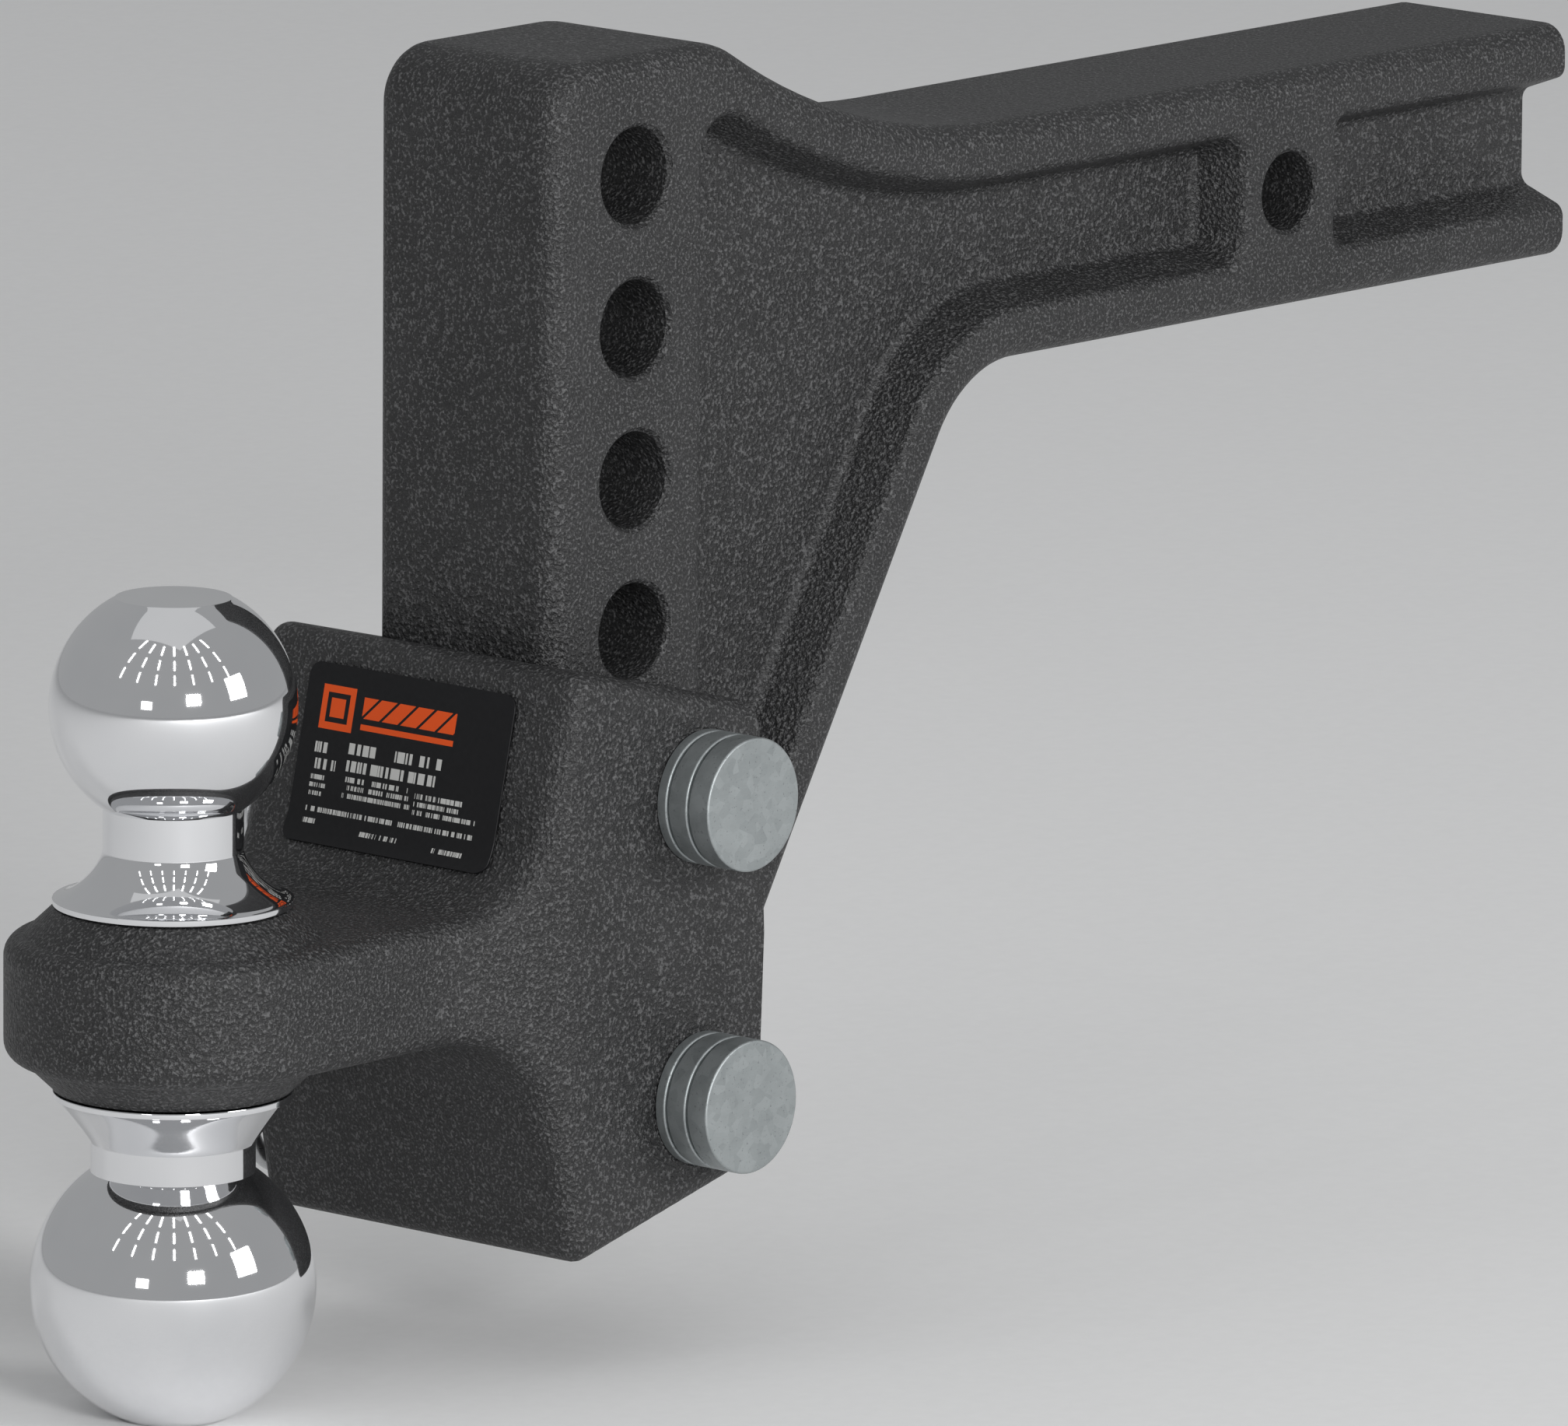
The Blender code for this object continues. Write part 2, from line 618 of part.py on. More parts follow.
def build_label(material):
    """Thin sticker that follows the front face down into its fillet."""
    rows = [0.0, 0.4, 0.9, 1.8, LABEL_CORNER_R]
    rows += [LABEL_CORNER_R + (LABEL_LENGTH - 2 * LABEL_CORNER_R) * k / 12 for k in range(1, 12)]
    rows += [LABEL_LENGTH - value for value in (LABEL_CORNER_R, 1.8, 0.9, 0.4, 0.0)]
    rings = []
    for row in rows:
        edge = max(0.0, LABEL_CORNER_R - min(row, LABEL_LENGTH - row))
        half = LABEL_HALF_WIDTH - LABEL_CORNER_R + math.sqrt(LABEL_CORNER_R ** 2 - edge ** 2)
        x, z, nx, nz = face_point(LABEL_TOP + row)
        ring = []
        outer = LABEL_GAP + LABEL_THICKNESS
        for lift, y in ((LABEL_GAP, -half), (LABEL_GAP, half), (outer, half), (outer, -half)):
            ring.append((x + lift * nx, y, z + lift * nz))
        rings.append(ring)
    return make_object("rating_label", loft(rings), material)


# ---------------------------------------------------------------- assembly

def main():
    """Clear the scene and build every piece."""
    for obj in list(bpy.data.objects):
        bpy.data.objects.remove(obj, do_unlink=True)
    build_casting(principled("casting_coating", (0.030, 0.030, 0.032), 0.62, 0.0))
    build_carrier(principled("carrier_coating", (0.030, 0.030, 0.032), 0.62, 0.0))
    build_upper_ball(principled("upper_chrome", (0.80, 0.80, 0.82), 0.06, 1.0))
    build_lower_ball(principled("lower_chrome", (0.80, 0.80, 0.82), 0.06, 1.0))
    build_label(principled("label_film", (0.012, 0.012, 0.013), 0.35, 0.0))
    for place, number in (("upper", 5), ("lower", 7)):
        build_pin(place + "_pin", number,
                  principled(place + "_pin_zinc", (0.42, 0.45, 0.46), 0.45, 0.9))
        build_clip(place + "_clip", number,
                   principled(place + "_clip_zinc", (0.62, 0.62, 0.62), 0.28, 1.0))


main()
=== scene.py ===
"""Finished surfaces and materials of the adjustable drop hitch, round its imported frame.

The shank and column, the ball carrier, the two balls, the pins, the clips and the rating label
are made again here with fine roundings, and each one stands for the CAD node of its place.
Lengths inside the shape functions are in millimetres and become metres in make_mesh().
X runs along the shank towards the vehicle, Z is up, and the pin heads face -Y.
"""

import json
import math

import bmesh
import bpy
import numpy as np
from mathutils import Matrix, Vector


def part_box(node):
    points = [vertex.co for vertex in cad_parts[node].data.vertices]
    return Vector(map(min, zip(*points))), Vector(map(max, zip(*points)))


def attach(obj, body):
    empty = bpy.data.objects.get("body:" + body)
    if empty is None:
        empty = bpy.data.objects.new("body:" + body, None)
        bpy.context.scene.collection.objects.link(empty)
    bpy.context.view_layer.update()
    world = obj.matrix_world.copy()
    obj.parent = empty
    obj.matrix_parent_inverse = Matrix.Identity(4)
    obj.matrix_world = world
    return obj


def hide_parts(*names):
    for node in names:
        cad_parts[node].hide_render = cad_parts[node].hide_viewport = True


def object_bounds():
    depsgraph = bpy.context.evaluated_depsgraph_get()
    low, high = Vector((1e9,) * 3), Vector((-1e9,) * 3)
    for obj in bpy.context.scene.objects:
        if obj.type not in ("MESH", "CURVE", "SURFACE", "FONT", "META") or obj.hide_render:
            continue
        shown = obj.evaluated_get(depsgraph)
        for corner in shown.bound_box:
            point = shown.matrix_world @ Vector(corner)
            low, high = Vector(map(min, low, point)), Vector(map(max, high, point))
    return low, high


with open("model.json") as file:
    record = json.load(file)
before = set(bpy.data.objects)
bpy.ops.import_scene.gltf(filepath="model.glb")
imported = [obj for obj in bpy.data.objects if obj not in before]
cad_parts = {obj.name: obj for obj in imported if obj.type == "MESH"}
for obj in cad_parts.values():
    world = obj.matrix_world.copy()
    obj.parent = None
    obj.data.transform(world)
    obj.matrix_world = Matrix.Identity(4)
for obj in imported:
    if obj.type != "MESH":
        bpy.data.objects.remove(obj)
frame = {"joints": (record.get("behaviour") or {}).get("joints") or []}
cad_low, cad_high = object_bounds()

MM = 0.001


def box_mm(node):
    """Lowest and highest corner of a CAD node, in millimetres."""
    low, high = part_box(node)
    return low / MM, high / MM


# Places that the frame gives
CASTING_LOW, CASTING_HIGH = box_mm("shank_and_column")
PIN_PLACES = {joint["child"]: Vector(joint["pos_m"]) / MM for joint in frame["joints"]
              if joint["type"] == "hinge"}
PIN_TIP_Y = box_mm("upper_pin")[1].y

# Casting: shank, column and gusset
CASTING_HALF = CASTING_HIGH.y
SHANK_END_X = CASTING_HIGH.x
COLUMN_FRONT_X = CASTING_LOW.x
COLUMN_TOP_Z = CASTING_HIGH.z
COLUMN_BOTTOM_Z = CASTING_LOW.z
CASTING_EDGE_R = 5.8
RECEIVER_HOLE_R = 8.4
COLUMN_HOLE_X = PIN_PLACES["upper_pin"].x
COLUMN_HOLE_R = 10.1
COLUMN_HOLE_PITCH = 31.75
COLUMN_HOLE_COUNT = 7
UPPER_PIN_HOLE = 5
COLUMN_TOP_HOLE_Z = PIN_PLACES["upper_pin"].z + (UPPER_PIN_HOLE - 1) * COLUMN_HOLE_PITCH
COLUMN_PAD_X = COLUMN_HOLE_X + 20.4
HOLE_CHAMFER = 1.0
COLUMN_TOP_LENGTH = 53.1
NECK_ANGLE = math.radians(31.1)
GUSSET_ANGLE = math.radians(60.0)
GUSSET_TOP_X = -101.4
GUSSET_TOP_R = 28.0
NECK_FOOT_R = 167.0
RECESS_DEPTH = 11.8
RECESS_WALL = 11.0
RECESS_DRAFT = math.radians(20.0)
RECESS_RIM_R = 3.0
RECESS_FLOOR_R = 3.0
RECESS_END_X = -13.9
END_RECESS_X = 15.2

# Ball carrier
BALL_X = COLUMN_HOLE_X - 111.2
TONGUE_Z = COLUMN_TOP_HOLE_Z - 5 * COLUMN_HOLE_PITCH
TONGUE_HALF = 13.2
BOSS_R = 34.6
CARRIER_HALF = 44.3
CARRIER_HEIGHT_HALF = 62.7
CARRIER_FRONT_X = -244.2
CARRIER_REAR_X = -187.4
CARRIER_TAPER = math.tan(math.radians(14.3))
CARRIER_REAR_DRAFT = 2.0
CARRIER_REAR_CORNER_R = 11.0
FACE_LEAN = math.tan(math.radians(12.9))
FACE_FILLET_R = 18.0
CARRIER_EDGE_R = 4.5
CHANNEL_GAP = 0.4
COLLAR_BASE_R = 30.2
COLLAR_TOP_R = 24.8
COLLAR_HALF = 19.0
TONGUE_BORE_R = 13.0

# Balls
UPPER_BALL_R = 25.4
LOWER_BALL_R = 29.37
BALL_OFFSET = 60.2
SEAT_GAP = 0.3
UPPER_NECK_R = 14.4
LOWER_NECK_R = 16.9
UPPER_NECK_START = 11.4
LOWER_NECK_START = 10.7
FLANGE_R = 24.7
FLANGE_EDGE = 1.3
UPPER_FLARE_POWER = 1.3
LOWER_FLARE_POWER = 1.85
UPPER_FLAT_ANGLE = 61.3
LOWER_FLAT_ANGLE = 65.9
STUD_R = 12.7
STUD_THREAD_R = 12.2
STUD_LENGTH = 71.0
LOWER_BORE_R = 12.55
LOWER_BORE_DEPTH = 36.0

# Adjusting pins and hairpin clips
PIN_R = 9.525
PIN_HEAD_R = 13.97
PIN_HEAD_RIBS = (5.2, 4.8, 2.5)
PIN_GROOVE_WIDTH = 0.8
PIN_GROOVE_DEPTH = 1.0
PIN_RIM_R = 0.45
PIN_SEAT_GAP = 0.3
CLIP_Y = 48.2
CLIP_WIRE_R = 2.0
CLIP_HOLE_R = 2.4
CLIP_LOOP_R = 11.9

# Rating label
LABEL_HALF_WIDTH = 28.8
LABEL_LENGTH = 37.8
LABEL_TOP = 7.0
LABEL_THICKNESS = 0.35
LABEL_GAP = 0.3
LABEL_CORNER_R = 3.0

# Fineness of the finished surfaces
ARC_STEP = math.radians(5.0)
ARC_FLATNESS = 0.03
EDGE_SEGMENTS = 7
EDGE_ANGLE = math.radians(30)
SHARP_ANGLE = math.radians(28)
TURNED_SEGMENTS = 144
BORE_SEGMENTS = 96
NET_STEP = 1.15
NET_NUDGE = 0.02
NET_PASSES = 5
WELD_GAP = 0.000004

# Finishes, as linear colours
# The coat's lighter colour tints its random cloudiness and also paints light specks that stand in
# for glints.
COAT_AND_GLINT_COLOURS = (0.009, 0.009, 0.0095), (0.105, 0.105, 0.107)
ZINC_COLOURS = (0.27, 0.295, 0.30), (0.46, 0.49, 0.495)
ZINC_PITS = 0.5

# Studio, in metres and watts
WORLD_COLOUR = (0.78, 0.79, 0.80, 1.0)
WORLD_STRENGTH = 0.44
LIGHT_AIM = (-0.16, 0.0, -0.09)
SOFT_BOXES = (
    # name, place, size, power
    ("key_right", (0.9, -3.6, 1.3), (1.3, 1.3), 44.0),
    ("front_right", (-1.9, -3.1, 0.9), (0.8, 0.6), 60.0),
    ("overhead", (-0.2, 0.2, 3.0), (2.6, 2.6), 5.0),
    ("window_left", (-3.3, -1.0, 0.5), (0.55, 0.4), 3.0),
)
STRIP_MIDDLE = Vector((-0.32, 0.0, -0.07))
STRIP_DISTANCE = 2.6
STRIP_SIZE = (0.06, 0.42)
STRIP_POWER = 0.4
FLOOR_HALF = 20000.0
FLOOR_DROP = 0.2
CAMERA_AIM = Vector((-0.13224, 0.0, -0.09795))
CAMERA_AZIMUTH = math.radians(48.165)
CAMERA_ELEVATION = math.radians(11.067)
CAMERA_ROLL = math.radians(0.389)
CAMERA_DISTANCE = 4.2943
CAMERA_LENS = 469.4


# ------------------------------ outlines

def corner_turn(corners, index):
    """Direction into a corner of an outline, and how far the outline turns there."""
    a, b = corners[index][:2]
    before = corners[index - 1]
    after = corners[(index + 1) % len(corners)]
    in_angle = math.atan2(b - before[1], a - before[0])
    out_angle = math.atan2(after[1] - b, after[0] - a)
    return in_angle, math.remainder(out_angle - in_angle, 2 * math.pi)


def rounded(corners, step=ARC_STEP, closed=True):
    """Turn (a, b, radius) corners into an outline with each corner as an arc.

    A corner that inset() has moved also keeps its first radius, last, so that its arc
    has the same number of points on every ring of a pocket.
    """
    points = []
    for index, corner in enumerate(corners):
        a, b, radius = corner[:3]
        if radius <= 0.0 or (not closed and index in (0, len(corners) - 1)):
            points.append((a, b))
            continue
        in_angle, turn = corner_turn(corners, index)
        reach = radius * math.tan(abs(turn) / 2)
        side = math.copysign(1.0, turn)
        start_a = a - reach * math.cos(in_angle)
        start_b = b - reach * math.sin(in_angle)
        centre_a = start_a - side * radius * math.sin(in_angle)
        centre_b = start_b + side * radius * math.cos(in_angle)
        smooth = abs(turn) * math.sqrt(corner[-1] / (8 * ARC_FLATNESS))
        arcs = max(2, math.ceil(abs(turn) / step - 0.01), math.ceil(smooth - 0.01))
        for k in range(arcs + 1):
            angle = in_angle + turn * k / arcs
            points.append((centre_a + side * radius * math.sin(angle),
                           centre_b - side * radius * math.cos(angle)))
    return points


def inset(corners, distance):
    """Move every side of a clockwise outline inwards, keeping its arcs in step."""
    moved = []
    for index, corner in enumerate(corners):
        a, b, radius = corner[:3]
        in_angle, turn = corner_turn(corners, index)
        middle = in_angle + turn / 2 - math.pi / 2
        shift = distance / math.cos(turn / 2)
        new_radius = max(0.3, radius - distance) if turn < 0 else radius + distance
        moved.append((a + shift * math.cos(middle), b + shift * math.sin(middle), new_radius,
                      corner[-1]))
    return moved


# ------------------------------ meshes

def linked(name, data):
    """A named object for some data, in the scene."""
    obj = bpy.data.objects.new(name, data)
    bpy.context.scene.collection.objects.link(obj)
    return obj


def make_mesh(name, mesh_data, place=(0, 0, 0)):
    """Link a bmesh as a named object whose place, in metres, is in its mesh."""
    bmesh.ops.remove_doubles(mesh_data, verts=mesh_data.verts, dist=1e-4)
    bmesh.ops.recalc_face_normals(mesh_data, faces=mesh_data.faces)
    mesh_data.transform(Matrix.Scale(MM, 4) @ Matrix.Translation(place))
    mesh = bpy.data.meshes.new(name)
    mesh_data.to_mesh(mesh)
    mesh_data.free()
    return linked(name, mesh)


def loft(rings):
    """Join equal rings of 3-D points into one closed mesh."""
    mesh = bmesh.new()
    loops = [[mesh.verts.new(point) for point in ring] for ring in rings]
    size = len(loops[0])
    for lower, upper in zip(loops, loops[1:]):
        for k in range(size):
            mesh.faces.new((lower[k], lower[(k + 1) % size], upper[(k + 1) % size], upper[k]))
    mesh.faces.new(loops[0][::-1])
    mesh.faces.new(loops[-1])
    return mesh


def prism(outline, low, high, axis):
    """Extrude an outline along Y (outline in X, Z) or along Z (outline in X, Y)."""
    place = {"Y": lambda a, b, level: (a, level, b), "Z": lambda a, b, level: (a, b, level)}[axis]
    return loft([[place(a, b, level) for a, b in outline] for level in (low, high)])


def revolve(profile, segments=TURNED_SEGMENTS, axis="Z"):
    """Turn an open (radius, height) profile that starts and ends on the axis."""
    mesh = bmesh.new()
    angles = [2 * math.pi * k / segments for k in range(segments)]
    place = {
        "Z": lambda r, h, t: (r * math.cos(t), r * math.sin(t), h),
        "Y": lambda r, h, t: (r * math.cos(t), h, r * math.sin(t)),
        "X": lambda r, h, t: (h, r * math.cos(t), r * math.sin(t)),
    }[axis]
    rows = []
    for radius, height in profile:
        if radius == 0.0:
            rows.append([mesh.verts.new(place(0.0, height, 0.0))])
        else:
            rows.append([mesh.verts.new(place(radius, height, t)) for t in angles])
    for one, two in zip(rows, rows[1:]):
        for k in range(segments):
            n = (k + 1) % segments
            if len(one) == 1:
                mesh.faces.new((one[0], two[n], two[k]))
            elif len(two) == 1:
                mesh.faces.new((one[k], one[n], two[0]))
            else:
                mesh.faces.new((one[k], one[n], two[n], two[k]))
    return mesh


def arc(centre_r, centre_h, radius, start, end, steps):
    """Profile points on an arc, from one direction in degrees to another."""
    angles = [math.radians(start + (end - start) * k / steps) for k in range(steps + 1)]
    return [(centre_r + radius * math.cos(a), centre_h + radius * math.sin(a)) for a in angles]


def outline_distance(outline, a, b):
    """Signed distance of points from a closed outline in its plane, negative inside."""
    nearest = np.full(a.shape, np.inf)
    inner = np.zeros(a.shape, bool)
    for (a0, b0), (a1, b1) in zip(outline, outline[1:] + outline[:1]):
        da, db = a1 - a0, b1 - b0
        if da * da + db * db < 1e-9:
            continue
        along = np.clip(((a - a0) * da + (b - b0) * db) / (da * da + db * db), 0, 1)
        nearest = np.minimum(nearest, (a - a0 - along * da) ** 2 + (b - b0 - along * db) ** 2)
        if db != 0.0:
            inner ^= ((b0 > b) != (b1 > b)) & (a < a0 + (b - b0) * da / db)
    return np.where(inner, -1.0, 1.0) * np.sqrt(nearest)


def rounded_crossing(side, plan, radius):
    """Signed distance of a crossing of two prisms with all its meeting edges rounded."""
    one, two = side + radius, plan + radius
    outer = np.sqrt(np.maximum(one, 0) ** 2 + np.maximum(two, 0) ** 2)
    return outer + np.minimum(np.maximum(one, two), 0) - radius


def net_faces(inner, number):
    """Quads that join the cells round each grid edge where the solid begins or ends."""
    faces = []
    for axis in range(3):
        others = [other for other in range(3) if other != axis]
        changes = np.argwhere(np.diff(inner.astype(np.int8), axis=axis) != 0)
        ring = []
        for one, two in ((0, 0), (1, 0), (1, 1), (0, 1)):
            cell = changes.copy()
            cell[:, others[0]] -= one
            cell[:, others[1]] -= two
            ring.append(number[tuple(cell.T)])
        faces.append(np.stack(ring, 1))
    return np.concatenate(faces)


def net_mesh(distance, low, high, step):
    """A bmesh of even quads on the zero surface of a distance function of x, y and z."""
    axes = [np.arange(a - 2 * step, b + 3 * step, step) for a, b in zip(low, high)]
    grid = np.meshgrid(*axes, indexing="ij", sparse=True)
    inner = distance(*grid) < 0
    size = [count - 1 for count in inner.shape]
    corners = np.stack([inner[i:size[0] + i, j:size[1] + j, k:size[2] + k]
                        for i in (0, 1) for j in (0, 1) for k in (0, 1)])
    mixed = corners.any(0) & ~corners.all(0)
    number = np.full(mixed.shape, -1)
    number[mixed] = np.arange(mixed.sum())
    points = np.argwhere(mixed) * step + np.array([axis[0] for axis in axes]) + step / 2
    for _ in range(NET_PASSES):
        here = distance(*points.T)
        slope = np.stack([distance(*(points + NET_NUDGE * np.eye(3)[axis]).T) - here
                          for axis in range(3)], 1) / NET_NUDGE
        points -= (here / np.maximum((slope ** 2).sum(1), 0.2))[:, None] * slope
    mesh = bmesh.new()
    verts = [mesh.verts.new(point) for point in points]
    for face in net_faces(inner, number):
        mesh.faces.new([verts[k] for k in face])
    return mesh


def cut(target, tool, operation="DIFFERENCE"):
    """Queue a Boolean with a tool that finish_solid() removes again."""
    modifier = target.modifiers.new(tool.name, "BOOLEAN")
    modifier.object = tool
    modifier.operation = operation
    modifier.solver = "EXACT"
    tool.hide_render = True


def round_edges(target, width, segments):
    """Round every edge sharper than the facets of an arc."""
    modifier = target.modifiers.new("rounded_edges", "BEVEL")
    modifier.width = width * MM
    modifier.segments = segments
    modifier.limit_method = "ANGLE"
    modifier.angle_limit = EDGE_ANGLE
    modifier.use_clamp_overlap = False


def plain_mesh(target):
    """Turn an object's modifiers into its mesh."""
    depsgraph = bpy.context.evaluated_depsgraph_get()
    mesh = bpy.data.meshes.new_from_object(target.evaluated_get(depsgraph))
    target.modifiers.clear()
    target.data = mesh
    mesh.name = target.name
    return mesh


def weld(mesh, gap):
    """Join the vertices that lie closer than the gap, and drop the faces this flattens."""
    welded = bmesh.new()
    welded.from_mesh(mesh)
    bmesh.ops.remove_doubles(welded, verts=welded.verts, dist=gap)
    bmesh.ops.dissolve_degenerate(welded, edges=welded.edges, dist=gap)
    welded.to_mesh(mesh)
    welded.free()


def finish_solid(target, material):
    """Apply the modifiers, drop their tools, shade by face area and give the material."""
    tools = [m.object for m in target.modifiers if m.type == "BOOLEAN"]
    plain_mesh(target)
    for tool in tools:
        bpy.data.objects.remove(tool, do_unlink=True)
    mesh = target.data
    weld(mesh, WELD_GAP)
    mesh.polygons.foreach_set("use_smooth", [True] * len(mesh.polygons))
    mesh.set_sharp_from_angle(angle=SHARP_ANGLE)
    weighted = target.modifiers.new("face_area_normals", "WEIGHTED_NORMAL")
    weighted.mode = "FACE_AREA"
    weighted.weight = 90
    weighted.keep_sharp = True
    plain_mesh(target)
    target.data.materials.clear()
    target.data.materials.append(material)
    return target


def stand_for(piece, node, body):
    """The finished piece shows instead of the CAD node."""
    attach(piece, body)
    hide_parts(node)


# ------------------------------ geometry nodes

class Tree:
    """A Geometry Nodes tree with named inputs, made node by node."""

    def __init__(self, name):
        self.group = bpy.data.node_groups.new(name, "GeometryNodeTree")
        self.add_input("Geometry", "NodeSocketGeometry")
        self.group.interface.new_socket("Geometry", in_out="OUTPUT",
                                        socket_type="NodeSocketGeometry")
        self.given = self.group.nodes.new("NodeGroupInput")
        self.result = self.group.nodes.new("NodeGroupOutput")

    def add_input(self, name, kind):
        """Add a named input to the tree."""
        self.group.interface.new_socket(name, in_out="INPUT", socket_type=kind)

    def node(self, kind, settings, inputs, output=0):
        """Add a node, set it up, feed its sockets and return one of its outputs."""
        made = self.group.nodes.new(kind)
        for key, value in settings.items():
            setattr(made, key, value)
        for key, value in inputs.items():
            if isinstance(value, bpy.types.NodeSocket):
                self.group.links.new(value, made.inputs[key])
            else:
                made.inputs[key].default_value = value
        return made.outputs[output]

    def close(self, geometry, material):
        """End the tree in real geometry that has its material."""
        real = self.node("GeometryNodeRealizeInstances", {}, {"Geometry": geometry})
        shown = self.node("GeometryNodeSetMaterial", {}, {"Geometry": real, "Material": material})
        self.group.links.new(shown, self.result.inputs[0])
        return self.group


def run_tree(target, group, values):
    """Put a tree on an object, set its inputs by their identifiers, and apply it."""
    modifier = target.modifiers.new(group.name, "NODES")
    modifier.node_group = group
    for item in group.interface.items_tree:
        if item.in_out == "INPUT" and item.name in values:
            modifier[item.identifier] = values[item.name]
    plain_mesh(target)


def row_tree():
    """Repeat the object's own mesh along a straight row."""
    tree = Tree("straight_row")
    tree.add_input("Count", "NodeSocketInt")
    tree.add_input("Step", "NodeSocketVector")
    tree.add_input("Material", "NodeSocketMaterial")
    given = tree.given.outputs
    line = tree.node("GeometryNodeMeshLine", {"mode": "OFFSET"},
                     {"Count": given["Count"], "Offset": given["Step"]})
    copies = tree.node("GeometryNodeInstanceOnPoints", {},
                       {"Points": line, "Instance": given["Geometry"]})
    return tree.close(copies, given["Material"])


def wire_tree():
    """Sweep a round wire along the object's own line of edges."""
    tree = Tree("round_wire")
    tree.add_input("Wire Radius", "NodeSocketFloat")
    tree.add_input("Sides", "NodeSocketInt")
    tree.add_input("Material", "NodeSocketMaterial")
    given = tree.given.outputs
    line = tree.node("GeometryNodeMeshToCurve", {}, {"Mesh": given["Geometry"]})
    section = tree.node("GeometryNodeCurvePrimitiveCircle", {},
                        {"Resolution": given["Sides"], "Radius": given["Wire Radius"]})
    thickness = tree.node("GeometryNodeInputNamedAttribute", {"data_type": "FLOAT"},
                          {"Name": "thickness"})
    wire = tree.node("GeometryNodeCurveToMesh", {},
                     {"Curve": line, "Profile Curve": section, "Scale": thickness,
                      "Fill Caps": True})
    smooth = tree.node("GeometryNodeSetShadeSmooth", {}, {"Geometry": wire})
    return tree.close(smooth, given["Material"])


# ------------------------------ shader maths

class Value:
    """A number socket of a material that takes part in Python arithmetic."""

    def __init__(self, finish, socket):
        self.finish = finish
        self.socket = socket

    def math(self, operation, first, second=None):
        """Add one Math node."""
        inputs = {0: first} if second is None else {0: first, 1: second}
        return self.finish.node("ShaderNodeMath", {"operation": operation}, inputs)

    def __add__(self, other):
        return self.math("ADD", self, other)

    def __radd__(self, other):
        return self.math("ADD", other, self)

    def __sub__(self, other):
        return self.math("SUBTRACT", self, other)

    def __rsub__(self, other):
        return self.math("SUBTRACT", other, self)

    def __mul__(self, other):
        return self.math("MULTIPLY", self, other)

    def __rmul__(self, other):
        return self.math("MULTIPLY", other, self)

    def __truediv__(self, other):
        return self.math("DIVIDE", self, other)

    def __abs__(self):
        return self.math("ABSOLUTE", self)

    def __gt__(self, other):
        return self.math("GREATER_THAN", self, other)

    def __lt__(self, other):
        return self.math("LESS_THAN", self, other)

    def at_most(self, other):
        """The smaller of two values."""
        return self.math("MINIMUM", self, other)

    def at_least(self, other):
        """The larger of two values."""
        return self.math("MAXIMUM", self, other)


class Finish:
    """A Principled material whose patterns are written as Python expressions."""

    def __init__(self, name, roughness, metallic, specular=0.5):
        self.material = bpy.data.materials.new(name)
        self.material.use_nodes = True
        self.tree = self.material.node_tree
        self.shader = self.tree.nodes["Principled BSDF"]
        self.shader.inputs["Roughness"].default_value = roughness
        self.shader.inputs["Metallic"].default_value = metallic
        self.shader.inputs["Specular IOR Level"].default_value = specular

    def node(self, kind, settings, inputs, output=0):
        """Add a node, set it up, feed its sockets and return one of its outputs."""
        made = self.tree.nodes.new(kind)
        for key, value in settings.items():
            if key == "stops":
                self.set_stops(made.color_ramp, value)
            else:
                setattr(made, key, value)
        for key, value in inputs.items():
            self.feed(made.inputs[key], value)
        return Value(self, made.outputs[output])

    def set_stops(self, ramp, stops):
        """Give a colour ramp its (place, grey) stops."""
        while len(ramp.elements) < len(stops):
            ramp.elements.new(1.0)
        for element, (place, grey) in zip(ramp.elements, stops):
            element.position = place
            element.color = (grey, grey, grey, 1.0)

    def feed(self, socket, value):
        """Link a value to a socket, or set the socket's own number."""
        if isinstance(value, Value):
            self.tree.links.new(value.socket, socket)
        elif isinstance(value, bpy.types.NodeSocket):
            self.tree.links.new(value, socket)
        else:
            socket.default_value = value

    def set(self, name, value):
        """Feed one of the shader's own sockets."""
        self.feed(self.shader.inputs[name], value)

    def place(self):
        """Object coordinates, in metres."""
        return self.node("ShaderNodeTexCoord", {}, {}, "Object")

    def noise(self, vector, scale, detail=2.0, roughness=0.5):
        """Soft noise from 0 to 1, with features of about 1 / scale metres."""
        return self.node("ShaderNodeTexNoise", {},
                         {"Vector": vector, "Scale": scale, "Detail": detail,
                          "Roughness": roughness})

    def cells(self, vector, scale):
        """Distance from the middle of round cells of about 1 / scale metres."""
        return self.node("ShaderNodeTexVoronoi", {"feature": "SMOOTH_F1"},
                         {"Vector": vector, "Scale": scale, "Smoothness": 0.6})

    def ramp(self, value, *stops):
        """Turn a value into a grey through (place, grey) stops."""
        return self.node("ShaderNodeValToRGB", {"stops": stops}, {"Fac": value})

    def mix(self, factor, one, two):
        """Mix two colours."""
        colours = [(*c, 1.0) if isinstance(c, tuple) else c for c in (one, two)]
        return self.node("ShaderNodeMix", {"data_type": "RGBA"},
                         {0: factor, 6: colours[0], 7: colours[1]}, 2)

    def stretch(self, vector, scale):
        """Coordinates stretched by a factor along each axis."""
        return self.node("ShaderNodeMapping", {}, {"Vector": vector, "Scale": scale})

    def relief(self, height, depth, strength=1.0):
        """Raise the surface by height times a depth in metres."""
        self.set("Normal", self.node("ShaderNodeBump", {},
                                     {"Strength": strength, "Distance": depth,
                                      "Height": height}))


# ------------------------------ finishes

